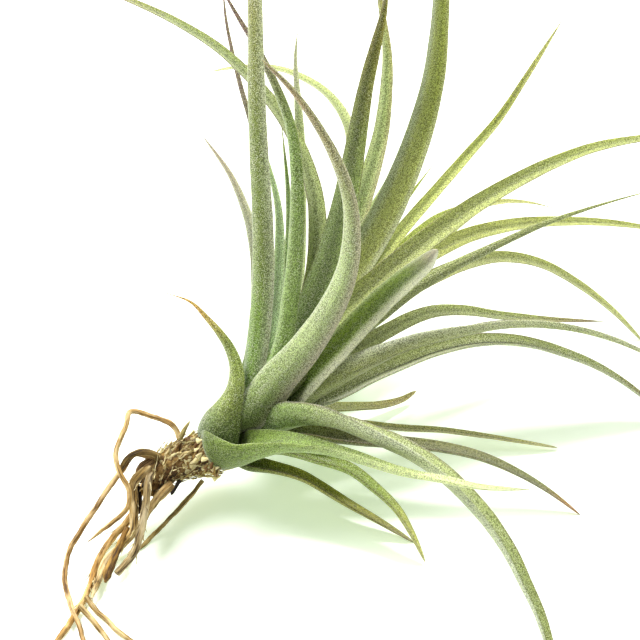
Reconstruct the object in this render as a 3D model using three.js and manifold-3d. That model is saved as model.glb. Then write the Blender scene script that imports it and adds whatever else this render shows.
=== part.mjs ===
// A small air plant lying as picked: a rosette of channelled leaves on a short ringed stem with wiry roots.
// Millimetres, +Z up, origin at the middle of the bounding box's floor.

import * as THREE from "three";
import { mergeVertices } from "three/addons/utils/BufferGeometryUtils.js";
import Module from "manifold-3d";

// The routes are laid out as seen along one sight line: right, up, and near, which is towards the viewer.
const SIGHT_TILT = THREE.MathUtils.degToRad(50); // how far the sight line looks down
const SIGHT_DISTANCE = 500; // from the eye to the plane of the crown
const SIGHT_CENTRE = { right: 29.4, up: 36.4 }; // where the sight line crosses the plane of the crown
const FLOOR = -15; // the surface that the plant lies on, below the crown
const FLOOR_REACH = 600;
const FLOOR_DEPTH = 40;
const CLEARANCE = 0.3; // between neighbouring pieces
const FACET = 0.04; // facets flatter than this against each other become one

// The rosette's axis starts at the crown and rises to the right.
const AXIS = new THREE.Vector3(0.655, 0.755, 0).normalize();

// Leaves
const SHEATH_LENGTH = 15; // the clasping base of a leaf
const SHEATH_SPREAD = 1.12; // its width against the blade's
const SHEATH_SEAT = 0.4; // between the stem and the middle of a leaf's base
const MOUTH_LEAN = 0.8; // how far a spread blade's channel leans along the axis
const FACING_SHARE = 0.3; // the share of a leaf's length in which its channel turns from the axis to its facing
const LONGEST_SHEATH_SHARE = 0.4; // the share of a short leaf that its clasping base can take
const BLADE_TAPER = 0.62; // how early a blade narrows
const TIP_WIDTH = 0.9;
const BASE_THICKNESS = 1.2;
const TIP_THICKNESS = 0.7;
const MARGIN_SHARE = 0.55; // a margin's thickness against the middle's
const SHEATH_FOLD = THREE.MathUtils.degToRad(72); // half the arc that a leaf's section spans
const BLADE_FOLD = THREE.MathUtils.degToRad(58);
const TIP_FOLD = THREE.MathUtils.degToRad(24);
const RING_STEP = 11; // between a blade's cross sections
const FEWEST_RINGS = 7;

// Stem
const STEM_SIDES = 12;
const CORE_RADIUS = 4.6;
const CORE_TOP_RADIUS = 1.6;
const CORE_LENGTH = 27;
const CORE_STOPS = [10, 18, CORE_LENGTH]; // where the stem's line meets the axis inside the rosette
const SCAR_PITCH = 2.6; // between the rings of old leaf scars
const SCAR_HEIGHT = 0.55;
const BARE_SHARE = 0.55; // the share of its length that shows below the leaves
const UPWARD = new THREE.Vector3(0.2, -0.3, 1).normalize(); // where a round bar's sections start from
const FEWEST_BAR_RINGS = 4;

// Dry sheaths
const SHEATH_SHELL = 0.8;
const SHEATH_FLARE = 1.6; // how far a dry sheath's point stands off the stem
const SHEATH_NARROWING = 0.7; // the share of its spread that a dry sheath loses towards its point
const DRY_STATIONS = 36; // cross sections in the length of the whole stem

// Roots
const ROOT_SIDES = 7;
const ROOT_STEP = 4.2;

const COLOURS = {
  green: { color: 0x8fa878, roughness: 0.75 },
  olive: { color: 0x8a8f63, roughness: 0.75 },
  lime: { color: 0xa9bf6d, roughness: 0.7 },
  grey: { color: 0x9aa98c, roughness: 0.8 },
  bark: { color: 0x8a6238, roughness: 0.9 },
  straw: { color: 0xc79a5e, roughness: 0.9 },
  wire: { color: 0xb58748, roughness: 0.8 },
};

// Each leaf: how far up the axis it grows, its blade's width, its colour, and the route of its middle line
// beyond the base, as [right, up, near]. Some have their own taper or sheath width, and some show their back.
const LEAVES = {
  leaf_tall_upright: {
    at: 9,
    width: 8.6,
    back: true,
    taper: 0.45,
    colour: "grey",
    line: [
      [8.4, 15.4, 6],
      [11.5, 32, 9],
      [12.9, 47.6, 11],
      [12.9, 61.6, 13],
      [12, 78.4, 14],
      [11.2, 98, 15],
      [10.9, 117.6, 15],
      [10.9, 142.8, 14],
      [12.6, 173.6, 10],
    ],
  },
  leaf_left_arch: {
    at: 15,
    width: 7.2,
    taper: 0.6,
    colour: "green",
    line: [
      [21, 28, -8],
      [26.9, 44.8, -12],
      [28.3, 57.4, -15],
      [27.7, 70, -17],
      [24.6, 81.2, -18],
      [19.3, 91.8, -18],
      [12, 101.4, -17],
      [1.4, 111.7, -15],
      [-9.8, 119, -12],
      [-25.2, 126.3, -8],
      [-36.7, 130.5, -4],
    ],
  },
  leaf_front_curl: {
    at: 7,
    width: 12.5,
    back: true,
    taper: 1.0,
    colour: "grey",
    line: [
      [14.3, 17, 11],
      [23, 25.8, 17],
      [30.2, 35.8, 25],
      [35.6, 46.8, 33],
      [37.8, 57.4, 41],
      [37.5, 68.6, 48],
      [34.2, 79.8, 54],
      [28.3, 91, 59],
      [21.3, 100.8, 63],
      [13.2, 109.2, 66],
    ],
  },
  leaf_slim_curl: {
    at: 12,
    width: 7.6,
    back: true,
    taper: 0.84,
    colour: "green",
    line: [
      [13.2, 18.2, 4],
      [18.5, 29.4, 2],
      [20.7, 42, 1],
      [22, 54.6, 0],
      [22.7, 68.6, 0],
      [22, 84, 1],
      [19.9, 93.8, 2],
      [16.2, 103, 4],
      [11.5, 112.6, 6],
      [6.4, 121, 9],
      [1.7, 129.4, 11],
    ],
  },
  leaf_thread_tip: {
    at: 11,
    width: 3.6,
    colour: "grey",
    line: [
      [13.2, 28, -15],
      [14.6, 47.6, -22],
      [13.4, 70, -27],
      [10.4, 89.6, -29],
      [7.3, 100.8, -29],
      [4.8, 111, -29],
      [3, 120.4, -28],
      [2.2, 128.8, -27],
    ],
  },
  leaf_back_hook: {
    at: 14,
    width: 6.4,
    colour: "lime",
    line: [
      [23.8, 33.6, -25],
      [33.6, 58.8, -45],
      [38, 78.4, -60],
      [37.5, 89.6, -68],
      [32.2, 98.6, -75],
      [23.8, 104.4, -82],
      [15.4, 107, -88],
      [5.9, 107, -94],
      [-0.8, 106, -98],
    ],
  },
  leaf_back_spire: {
    at: 13,
    width: 7.4,
    taper: 0.7,
    colour: "lime",
    line: [
      [16.8, 28, -18],
      [21.6, 47.6, -28],
      [23.2, 70, -38],
      [23.5, 86.8, -44],
      [23, 98, -47],
      [22.4, 109.2, -50],
      [23.2, 118.2, -52],
    ],
  },
  leaf_back_left: {
    at: 8,
    width: 6,
    colour: "grey",
    line: [
      [10.4, 25.2, -26],
      [12, 43.4, -46],
      [10.6, 58.8, -64],
      [7.8, 68.6, -77],
      [3.9, 77.3, -88],
      [-3.4, 87.9, -102.3],
    ],
  },
  leaf_green_inner: {
    at: 13,
    width: 6,
    colour: "lime",
    line: [
      [13.2, 23.8, -5],
      [16.5, 39.2, -8],
      [17.9, 56, -11],
      [17.4, 68.6, -13],
      [14.8, 79.8, -15],
      [12, 89.6, -16],
    ],
  },
  leaf_slim_inner: {
    at: 14,
    width: 4.5,
    colour: "grey",
    line: [
      [14.8, 25.2, -9],
      [18.8, 42, -13],
      [20.4, 58.8, -16],
      [20.2, 74.2, -18],
      [19.3, 84, -19],
      [18.5, 91.8, -19],
    ],
  },
  leaf_centre: {
    at: 17,
    width: 12.5,
    taper: 0.65,
    colour: "green",
    line: [
      [18.2, 23.8, -3],
      [24.9, 35.6, -4],
      [30, 47.6, -5],
      [33.3, 58.8, -6],
      [36.7, 72.8, -7],
      [39.2, 86.8, -7],
      [41.7, 100.8, -6],
      [44.8, 113.4, -4],
      [47.3, 123.8, -1],
      [48.2, 133, 3],
    ],
  },
  leaf_centre_edge: {
    at: 20,
    width: 8,
    colour: "lime",
    line: [
      [23.8, 32.2, -12],
      [35.6, 56, -17],
      [41.7, 72.8, -19],
      [45.9, 87.6, -20],
      [47.6, 100.8, -19],
      [47.9, 110.6, -18],
      [46.8, 120.4, -16],
      [45.4, 129.4, -13],
      [43.7, 138.6, -10],
    ],
  },
  leaf_tall_centre: {
    at: 19,
    width: 12.5,
    taper: 0.5,
    colour: "green",
    line: [
      [23.8, 30.2, -8],
      [36.4, 48.2, -11],
      [45.4, 62.2, -13],
      [51.8, 75.6, -13],
      [57, 89.6, -12],
      [60.5, 103.6, -9],
      [62.2, 117.6, -5],
      [63, 134.4, 1],
      [62.4, 151.2, 9],
      [59.6, 169.4, 20],
    ],
  },
  leaf_bud_tip: {
    at: 23,
    width: 4.5,
    colour: "lime",
    line: [
      [30.8, 37.8, -17],
      [44.8, 57.4, -21],
      [54, 70.6, -23],
      [60.8, 79.5, -24],
    ],
  },
  leaf_right_spear: {
    at: 22,
    width: 6,
    taper: 0.5,
    colour: "lime",
    line: [
      [29.4, 33.6, -15],
      [44, 51, -19],
      [53.2, 62.7, -22],
      [62.2, 73, -24],
      [69.4, 81.2, -25],
      [79, 92.4, -24],
      [86.5, 103.6, -21],
      [97.2, 120.4, -16],
    ],
  },
  leaf_right_pale: {
    at: 17,
    width: 8,
    taper: 0.7,
    colour: "lime",
    line: [
      [35, 40, -20],
      [47, 50.5, -26],
      [57, 60.5, -31],
      [64.4, 65.5, -34],
      [79.8, 69.4, -41],
      [88.2, 69.2, -45],
      [94.6, 67.8, -48],
    ],
  },
  leaf_right_arch: {
    at: 16,
    width: 9.6,
    taper: 0.7,
    colour: "green",
    line: [
      [25.2, 28, -1],
      [36.4, 39.2, -3],
      [49, 50.4, -4],
      [60.8, 59.9, -5],
      [71, 67.2, -6],
      [82.6, 74.2, -6],
      [93.8, 79.8, -6],
      [105.6, 84.3, -5],
      [119, 87, -4],
      [133, 88.2, -2],
      [146.4, 86.2, 0],
    ],
  },
  leaf_front_reach: {
    at: 10,
    width: 9.5,
    back: true,
    colour: "green",
    line: [
      [23.8, 16.8, 13],
      [35, 29.4, 24],
      [46.2, 41.2, 38],
      [54.6, 48.4, 53],
      [59.9, 52.9, 70],
      [62.4, 56, 92],
    ],
  },
  leaf_right_thin: {
    at: 13,
    width: 8,
    back: true,
    taper: 1.2,
    colour: "grey",
    line: [
      [29.4, 25.2, 6],
      [43.4, 35.8, 6],
      [54.6, 44.2, 5],
      [64.4, 50, 4],
      [74.2, 54.9, 2],
      [91, 62.7, -2],
      [103.6, 67.2, -5],
      [119, 71.7, -9],
      [133.6, 74.8, -13],
    ],
  },
  leaf_right_back: {
    at: 14,
    width: 7.8,
    taper: 0.85,
    colour: "lime",
    line: [
      [32.2, 33, -14],
      [51.8, 49.6, -22],
      [68.6, 59, -30],
      [79.8, 62.2, -36],
      [91, 63.6, -43],
      [107.8, 63.6, -53],
      [121.8, 61.9, -62],
      [136.9, 58, -71],
    ],
  },
  leaf_right_hook: {
    at: 11,
    width: 4.9,
    taper: 0.45,
    colour: "lime",
    line: [
      [35, 32.2, -16],
      [54.6, 44.8, -22],
      [68.6, 51.5, -27],
      [79.8, 53.8, -32],
      [91, 52, -36],
      [102.2, 45.9, -40],
      [111.2, 38.9, -43],
      [119.6, 30.5, -45],
    ],
  },
  leaf_side_short: {
    at: 9,
    width: 5.6,
    taper: 0.8,
    colour: "green",
    line: [
      [26.6, 20.4, -8],
      [43.4, 30.5, -11],
      [58.8, 38, -15],
      [68.6, 38.9, -18],
      [79.8, 37.5, -22],
      [93.8, 36.4, -28],
      [108.6, 36, -34],
    ],
  },
  leaf_side_channel: {
    at: 8,
    width: 6.4,
    taper: 0.65,
    colour: "green",
    line: [
      [23.8, 14.6, 2],
      [35.6, 19.6, 2],
      [46.2, 24.9, 1],
      [57.4, 29, 0],
      [68.6, 32.2, -1],
      [82.6, 35.3, -4],
      [96.6, 34.7, -8],
      [107.8, 32.8, -11],
      [119, 28.6, -15],
      [132.4, 21.3, -20],
    ],
  },
  leaf_side_low: {
    at: 6,
    width: 6.5,
    taper: 0.53,
    colour: "grey",
    line: [
      [23.8, 12.9, -5],
      [36.4, 16.2, -6],
      [51.8, 23.5, -8],
      [63, 27.2, -9],
      [74.2, 29.7, -11],
      [85.4, 29, -13],
      [96.6, 26, -16],
      [107.8, 21.6, -19],
      [119, 14.6, -22],
      [128, 6.2, -24],
    ],
  },
  leaf_stub: {
    at: 5,
    width: 5,
    taper: 0.4,
    colour: "olive",
    line: [
      [23.8, 10.6, -14],
      [39.2, 11.8, -21],
      [46.2, 12.3, -24],
      [52.4, 14, -27],
      [56.3, 16.5, -28],
    ],
  },
  leaf_front_sweep: {
    at: 5,
    width: 11.5,
    taper: 0.55,
    colour: "green",
    line: [
      [15.4, 9, 12],
      [23.8, 8.7, 16],
      [33.6, 7, 20],
      [43.4, 3.9, 24],
      [53.2, 0.8, 27],
      [63.3, -6.7, 30],
      [74.2, -17.6, 32],
      [81.2, -27.4, 33],
      [86.2, -37.2, 34],
      [91, -47.6, 34],
      [97.2, -70, 33],
    ],
  },
  leaf_front_low: {
    at: 2,
    width: 6.6,
    taper: 0.7,
    sheath: 10.5,
    colour: "lime",
    line: [
      [9.2, 2, 10],
      [19.6, 0.3, 13],
      [29.4, -0.6, 16.5],
      [37.8, -2, 21],
      [51.8, -6.2, 31],
      [63, -8.4, 37],
      [74.2, -10.6, 39.5],
      [88.2, -11.2, 40],
    ],
  },
  leaf_low_thin: {
    at: 3,
    width: 3.2,
    taper: 0.35,
    colour: "olive",
    line: [
      [23.8, 7.8, -9],
      [37.8, 7.3, -12],
      [51.8, 5.9, -14],
      [63, 5.3, -15],
      [74.2, 3.9, -16],
      [85.4, 2.2, -17],
      [95.8, 0.6, -18],
    ],
  },
  leaf_low_brown: {
    at: 3,
    width: 9.5,
    taper: 0.8,
    colour: "olive",
    line: [
      [21, 4.8, -1],
      [35, 3, -1],
      [49, 1.7, -1],
      [63, 0.3, -1],
      [74.2, -2.2, -1],
      [85.4, -7, -2],
      [93.8, -12, -3],
      [102.2, -18.2, -4],
    ],
  },
  leaf_low_speckled: {
    at: 2,
    width: 6.6,
    taper: 0.65,
    colour: "olive",
    line: [
      [15.4, 0.3, 2],
      [30.8, -3.4, 3],
      [37.8, -5.9, 4],
      [44.8, -11.2, 5],
      [50.4, -16.5, 6],
      [54.6, -23, 7],
      [58.8, -31.4, 7],
    ],
  },
  leaf_lowest: {
    at: 1,
    width: 5.2,
    taper: 0.5,
    colour: "olive",
    line: [
      [7, -3.6, -2],
      [16.8, -5.6, -3],
      [23.8, -7.6, -3],
      [29.4, -10.6, -2],
      [37.8, -15.7, 0],
      [46.2, -20.4, 1],
      [55.7, -26, 2],
    ],
  },
  leaf_small_left: {
    at: 2,
    width: 8.2,
    back: true,
    taper: 1.05,
    colour: "olive",
    line: [
      [3.9, 12.6, 7],
      [5.6, 18.2, 8],
      [5.3, 23, 9],
      [3.9, 27.7, 9],
      [1, 32.5, 10],
      [-2.8, 37.2, 10],
      [-7, 41.4, 11],
      [-14.6, 44.2, 12],
    ],
  },
  leaf_behind_right: {
    at: 12,
    width: 6,
    colour: "green",
    line: [
      [32.2, 33, -28],
      [50.4, 50.4, -45],
      [63, 58.8, -60],
      [72.8, 66, -72],
      [77, 68.6, -79],
    ],
  },
  leaf_behind_centre: {
    at: 10,
    width: 6,
    colour: "green",
    line: [
      [23.8, 32.2, -30],
      [35, 51.8, -50],
      [42.8, 65.8, -68],
      [48.4, 75.6, -83],
      [53.2, 82.6, -94],
    ],
  },
  leaf_behind_left: {
    at: 6,
    width: 6,
    colour: "green",
    line: [
      [11.5, 23.8, -26],
      [13.2, 37.8, -44],
      [13.2, 50.4, -60],
      [12.3, 60.2, -71],
      [11.8, 66.6, -78],
    ],
  },
  leaf_behind_side: {
    at: 7,
    width: 5.5,
    colour: "green",
    line: [
      [27.2, 16.2, -20],
      [44, 23, -29],
      [57.4, 28.3, -37],
      [70, 31.4, -44],
    ],
  },
  leaf_behind_short: {
    at: 3,
    width: 5,
    colour: "olive",
    line: [
      [7, 11.2, -18],
      [9.5, 19.6, -29],
      [10.9, 28, -40],
    ],
  },
  leaf_under_short: {
    at: 2,
    width: 5,
    colour: "olive",
    line: [
      [12, 7, -15],
      [19.6, 11.8, -24],
      [27.2, 15.7, -31],
    ],
  },
};

// The stem's lower end bends to the left and down from the crown, as [right, up, near, radius].
const STEM_LINE = [
  [-18.5, -12.5, 1, 1.6],
  [-17, -8, 1, 3.2],
  [-13.5, -5, 0.5, 4.8],
  [-8, -2.5, 0, 5.6],
  [-2.5, -0.8, 0, 5.8],
  [3, 3, 0, 5.2],
];

// Each root: its thickness at both ends and its route away from the stem.
const ROOTS = {
  root_long_left: {
    thick: [1.7, 1.3],
    line: [
      [-17, -2.5, 3],
      [-22.4, -1.2, 5],
      [-26.6, -6.4, 7],
      [-32.2, -14.3, 7],
      [-38.4, -23.8, 8],
      [-41.2, -29.4, 8.5],
      [-42, -35.8, 11.2],
      [-40.6, -43, 16.2],
      [-38.2, -48.7, 20.2],
      [-36, -56, 25],
      [-31, -63, 29.8],
    ],
  },
  root_loop: {
    thick: [1.6, 1.3],
    line: [
      [-10, 3.4, 4],
      [-12, 7, 4.5],
      [-19.6, 10, 5],
      [-23.8, 10.6, 6],
      [-25, 6.5, 8],
      [-27.6, 0, 9.5],
      [-27, -5.6, 10.5],
      [-24.2, -11.2, 11],
      [-24.6, -16.2, 11.5],
      [-29.4, -20.7, 11.5],
      [-35.6, -25.6, 12],
    ],
  },
  root_flat_end: {
    thick: [2.2, 2],
    line: [
      [-18.5, -8, 5.5],
      [-19.2, -13.5, 7.5],
      [-20, -19, 8.5],
      [-21.2, -24.4, 9.5],
      [-23.2, -29.6, 10.5],
      [-27.6, -34.6, 13],
    ],
  },
  root_thick: {
    thick: [2.7, 2],
    line: [
      [-19.5, -5.5, 4.5],
      [-22.8, -9.5, 5],
      [-22.6, -16.5, 5],
      [-22.8, -22.5, 6],
      [-26.5, -27, 6.5],
      [-30.5, -31.2, 8.5],
      [-32.6, -36.5, 12],
      [-34.5, -41.5, 16],
    ],
  },
  root_amber: {
    thick: [2.1, 1.5],
    line: [
      [-20.5, -11, 1.5],
      [-23.5, -18.5, 2],
      [-28.5, -24.5, 3],
      [-32.6, -30.5, 7],
      [-35, -38, 12.3],
      [-38, -44, 16.5],
      [-42, -50.5, 21.2],
      [-48, -58, 26.6],
    ],
  },
  root_fork: {
    thick: [1.5, 1.3],
    line: [
      [-36, -41, 15.5],
      [-33.3, -45, 17.5],
      [-31, -47, 18.8],
      [-26.6, -51.2, 21.8],
      [-19.6, -56, 25.2],
    ],
  },
  root_fork_low: {
    thick: [1.6, 1.3],
    line: [
      [-37.8, -43.5, 17.5],
      [-35.6, -46.2, 18.6],
      [-33.6, -48.4, 20.1],
      [-30, -53.2, 23.5],
      [-27, -58, 27],
    ],
  },
  root_straight: {
    thick: [1.3, 1.2],
    line: [
      [-3.5, -8.5, 0.5],
      [-7.5, -13.5, 0],
      [-13, -19.5, 1],
      [-18.5, -25, 2.5],
      [-22, -28.5, 4.5],
    ],
  },
};

// Dry sheaths: the share of the stem's line that each covers, and its middle and half spread round the stem.
const DRY_SHEATHS = {
  dry_sheath_1: { from: 0.2, to: 0.4, middle: 20, spread: 62 },
  dry_sheath_2: { from: 0.16, to: 0.36, middle: 150, spread: 55 },
  dry_sheath_3: { from: 0.22, to: 0.42, middle: 265, spread: 58 },
};

const wasm = await Module();
wasm.setup();

const lerp = THREE.MathUtils.lerp;
const smooth = THREE.MathUtils.smoothstep;

// A point given as seen along the sight line, as a point of the plant.
function place(right, up, near) {
  const spread = (SIGHT_DISTANCE - near) / SIGHT_DISTANCE;
  const across = SIGHT_CENTRE.right + (right - SIGHT_CENTRE.right) * spread;
  const high = SIGHT_CENTRE.up + (up - SIGHT_CENTRE.up) * spread;
  const sin = Math.sin(SIGHT_TILT);
  const cos = Math.cos(SIGHT_TILT);
  return new THREE.Vector3(across, high * sin - near * cos, high * cos + near * sin);
}

const sightward = new THREE.Vector3(0, -Math.cos(SIGHT_TILT), Math.sin(SIGHT_TILT));

const axisStart = place(0, 0, 0);
const axisDirection = place(AXIS.x, AXIS.y, 0).sub(axisStart).normalize();

// The radius of the stem's core inside the rosette.
function coreRadius(along) {
  return lerp(CORE_RADIUS, CORE_TOP_RADIUS, THREE.MathUtils.clamp(along / CORE_LENGTH, 0, 1));
}

// Frames along a curve, each turned about it so that its normal leans to the direction wished for there.
function framesAlong(curve, count, wish) {
  return Array.from({ length: count + 1 }, (_, i) => {
    const t = i / count;
    const tangent = curve.getTangentAt(t).normalize();
    const normal = wish(t, tangent);
    normal.addScaledVector(tangent, -normal.dot(tangent)).normalize();
    const side = new THREE.Vector3().crossVectors(normal, tangent).normalize();
    return { t, point: curve.getPointAt(t), tangent, normal, side };
  });
}

// A wish that keeps the last normal, so that the frames turn as little as they can.
function steady(up) {
  let last = up;
  return (t, tangent) => {
    last = last.clone().addScaledVector(tangent, -last.dot(tangent)).normalize();
    return last.clone();
  };
}

// A closed solid through rings of points, with the same number of points in each and a list of cap faces.
function loft(rings, cap) {
  const size = rings[0].length;
  const points = rings.flat().flatMap((p) => [p.x, p.y, p.z]);
  const faces = [];
  for (let r = 0; r + 1 < rings.length; r++) {
    for (let i = 0; i < size; i++) {
      const a = r * size + i;
      const b = r * size + ((i + 1) % size);
      faces.push(a, b, b + size, a, b + size, a + size);
    }
  }
  const last = (rings.length - 1) * size;
  for (const [a, b, c] of cap) {
    faces.push(a, c, b, last + a, last + b, last + c);
  }
  return solid(points, faces);
}

// A solid from flat lists of coordinates and of triangle corners.
function solid(points, faces) {
  const mesh = new wasm.Mesh({
    numProp: 3,
    vertProperties: new Float32Array(points),
    triVerts: new Uint32Array(faces),
  });
  return new wasm.Manifold(mesh);
}

// A leaf's section: five points round its outer face and three along its channel.
const LEAF_CAP = [
  [1, 2, 6],
  [1, 6, 7],
  [1, 7, 0],
  [3, 4, 5],
  [3, 5, 6],
  [3, 6, 2],
];

// One ring of a leaf: a channelled section round a frame, grown evenly where it makes room for a neighbour.
function leafSection(frame, width, fold, thickness, grow) {
  const radius = width / (2 * Math.sin(fold));
  const edge = grow / radius;
  const lift = (radius * (1 + Math.cos(fold))) / 2; // puts the route midway between the back and the margins
  const outer = [-1, -0.5, 0, 0.5, 1].map((u) => [u * fold + Math.sign(u) * edge, radius + grow]);
  const inner = [1, 0, -1].map((u) => {
    const depth = thickness * (u === 0 ? 1 : MARGIN_SHARE);
    return [u * (fold + edge), radius - depth - grow];
  });
  return [...outer, ...inner].map(([angle, r]) =>
    frame.point
      .clone()
      .addScaledVector(frame.side, r * Math.sin(angle))
      .addScaledVector(frame.normal, lift - r * Math.cos(angle)),
  );
}

// The direction away from the rosette's axis, from a point on it towards another point.
function awayFromAxis(from, to) {
  const outward = to.clone().sub(from);
  return outward.addScaledVector(axisDirection, -outward.dot(axisDirection)).normalize();
}

// The middle line of a leaf, from the stem's surface through its route, and the way its channel faces: towards
// the axis at the base, then out of the rosette's mouth and up, or down for a leaf that shows its back.
function leafCourse(leaf) {
  const route = leaf.line.map(([right, up, near]) => place(right, up, near));
  const root = axisStart.clone().addScaledVector(axisDirection, leaf.at);
  const outward = awayFromAxis(root, route[0]);
  const start = root.clone().addScaledVector(outward, coreRadius(leaf.at) + SHEATH_SEAT);
  const open = sightward.clone().multiplyScalar(leaf.back ? -1 : 1);
  open.addScaledVector(axisDirection, MOUTH_LEAN);
  const wish = (t) => {
    const spread = smooth(t, 0, FACING_SHARE);
    return open.clone().multiplyScalar(spread).addScaledVector(outward, spread - 1);
  };
  return { curve: new THREE.CatmullRomCurve3([start, ...route], false, "centripetal"), wish };
}

// A leaf: a clasping base that opens into a blade, which narrows and flattens to its tip.
function leafSolid(leaf, grow) {
  const { curve, wish } = leafCourse(leaf);
  const length = curve.getLength();
  const count = Math.max(FEWEST_RINGS, Math.round(length / RING_STEP));
  const sheathEnd = Math.min(LONGEST_SHEATH_SHARE, SHEATH_LENGTH / length);
  const bladeStart = sheathEnd / 2;
  const sheath = leaf.sheath ?? leaf.width * SHEATH_SPREAD;
  const rings = framesAlong(curve, count, wish).map((frame) => {
    const opened = smooth(frame.t, 0, sheathEnd);
    const along = Math.max(0, (frame.t - bladeStart) / (1 - bladeStart));
    const blade = leaf.width * Math.pow(1 - along, leaf.taper ?? BLADE_TAPER);
    const width = Math.max(TIP_WIDTH, lerp(sheath, blade, opened));
    const fold = lerp(lerp(SHEATH_FOLD, BLADE_FOLD, opened), TIP_FOLD, frame.t ** 4);
    const thickness = lerp(BASE_THICKNESS, TIP_THICKNESS, frame.t);
    return leafSection(frame, width, fold, thickness, grow);
  });
  return loft(rings, LEAF_CAP);
}

// The faces that close a round bar's ends.
function fanCap(sides) {
  const faces = [];
  for (let i = 1; i + 1 < sides; i++) faces.push([0, i, i + 1]);
  return faces;
}

// A round bar along a curve, its radius given by how far along and how far round each point is.
function barSolid(curve, radii, sides, step) {
  const count = Math.max(FEWEST_BAR_RINGS, Math.round(curve.getLength() / step));
  const rings = framesAlong(curve, count, steady(UPWARD)).map((frame) => {
    return Array.from({ length: sides }, (_, i) => {
      const angle = (2 * Math.PI * i) / sides;
      const r = radii(frame.t, angle);
      return frame.point
        .clone()
        .addScaledVector(frame.side, r * Math.sin(angle))
        .addScaledVector(frame.normal, -r * Math.cos(angle));
    });
  });
  return loft(rings, fanCap(sides));
}

// The stem's middle line, from its lower end through the crown to the top of the core, and its radius there.
function stemCourse() {
  const points = STEM_LINE.map(([right, up, near]) => place(right, up, near));
  const sizes = STEM_LINE.map((row) => row[3]);
  for (const along of CORE_STOPS) {
    points.push(axisStart.clone().addScaledVector(axisDirection, along));
    sizes.push(coreRadius(along));
  }
  const curve = new THREE.CatmullRomCurve3(points, false, "centripetal");
  const radiusAt = (t) => {
    const u = curve.getUtoTmapping(t) * (sizes.length - 1);
    const i = Math.min(sizes.length - 2, Math.floor(u));
    return lerp(sizes[i], sizes[i + 1], u - i);
  };
  return { curve, radiusAt };
}

// The rings of old leaf scars run round the bare part of the stem as a shallow screw.
function stemSolid(grow) {
  const { curve, radiusAt } = stemCourse();
  const length = curve.getLength();
  const radii = (t, angle) => {
    const wave = 0.5 + 0.5 * Math.cos((2 * Math.PI * t * length) / SCAR_PITCH + angle);
    return radiusAt(t) + grow + (t < BARE_SHARE ? SCAR_HEIGHT * wave : 0);
  };
  return barSolid(curve, radii, STEM_SIDES, SCAR_PITCH / 2);
}

// A dry sheath is a shell round part of the stem, narrowing to a ragged point towards the crown.
function drySheathSolid(sheath) {
  const { curve, radiusAt } = stemCourse();
  const frames = framesAlong(curve, DRY_STATIONS, steady(UPWARD)).filter(
    ({ t }) => t >= sheath.from && t <= sheath.to,
  );
  const rings = frames.map((frame) => {
    const along = (frame.t - sheath.from) / (sheath.to - sheath.from);
    const inner = radiusAt(frame.t) + SCAR_HEIGHT + CLEARANCE + SHEATH_FLARE * along * along;
    const spread = THREE.MathUtils.degToRad(sheath.spread * (1 - SHEATH_NARROWING * along * along));
    const middle = THREE.MathUtils.degToRad(sheath.middle);
    const across = [-1, -0.5, 0, 0.5, 1].map((u) => middle + u * spread);
    const outside = across.map((angle) => [angle, inner + SHEATH_SHELL]);
    const inside = across.toReversed().map((angle) => [angle, inner]);
    return [...outside, ...inside].map(([angle, r]) =>
      frame.point
        .clone()
        .addScaledVector(frame.side, r * Math.sin(angle))
        .addScaledVector(frame.normal, -r * Math.cos(angle)),
    );
  });
  const last = rings[0].length - 1;
  const cap = [0, 1, 2, 3].flatMap((i) => [
    [i, i + 1, last - 1 - i],
    [i, last - 1 - i, last - i],
  ]);
  return loft(rings, cap);
}

// A root: a round strand that thins evenly along its route.
function rootSolid(root, grow) {
  const points = root.line.map(([right, up, near]) => place(right, up, near));
  const curve = new THREE.CatmullRomCurve3(points, false, "centripetal");
  const radii = (t) => lerp(root.thick[0], root.thick[1], t) / 2 + grow;
  return barSolid(curve, radii, ROOT_SIDES, ROOT_STEP);
}

// The largest body of a solid that a cut has parted.
function largest(body) {
  return body.decompose().sort((a, b) => b.volume() - a.volume())[0];
}

// The space below the surface that the plant lies on, which trims what would sink into it.
function belowFloor() {
  const box = new THREE.BoxGeometry(FLOOR_REACH, FLOOR_REACH, FLOOR_DEPTH);
  box.translate(0, 0, FLOOR - FLOOR_DEPTH / 2);
  box.deleteAttribute("normal");
  box.deleteAttribute("uv");
  const merged = mergeVertices(box);
  return solid(merged.getAttribute("position").array, merged.index.array);
}

const plant = new THREE.Group();
const underground = belowFloor();
const standing = []; // the grown shapes that later pieces keep clear of

// Whether the bounding boxes of two solids meet, without which they can't overlap.
function boxesMeet(a, b) {
  const p = a.boundingBox();
  const q = b.boundingBox();
  return [0, 1, 2].every((i) => p.min[i] <= q.max[i] && q.min[i] <= p.max[i]);
}

// Adds a piece to the plant, cut clear of the pieces before it and of the floor.
function addPiece(name, body, grown, colour) {
  let cut = body;
  for (const other of standing) {
    if (boxesMeet(cut, other)) cut = cut.subtract(other);
  }
  cut = largest(largest(cut.subtract(underground)).simplify(FACET));
  standing.push(grown);
  const mesh = cut.getMesh();
  const geometry = new THREE.BufferGeometry();
  geometry.setAttribute("position", new THREE.BufferAttribute(new Float32Array(mesh.vertProperties), 3));
  geometry.setIndex(new THREE.BufferAttribute(new Uint32Array(mesh.triVerts), 1));
  const piece = new THREE.Mesh(geometry, new THREE.MeshStandardMaterial({ metalness: 0, ...COLOURS[colour] }));
  piece.name = name;
  plant.add(piece);
}

addPiece("stem", stemSolid(0), stemSolid(CLEARANCE), "bark");

// Younger leaves stand inside older ones, so they are placed first and the older ones give way.
const byAge = Object.entries(LEAVES).sort(([, a], [, b]) => b.at - a.at);
for (const [name, leaf] of byAge) {
  addPiece(name, leafSolid(leaf, 0), leafSolid(leaf, CLEARANCE), leaf.colour);
}

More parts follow.
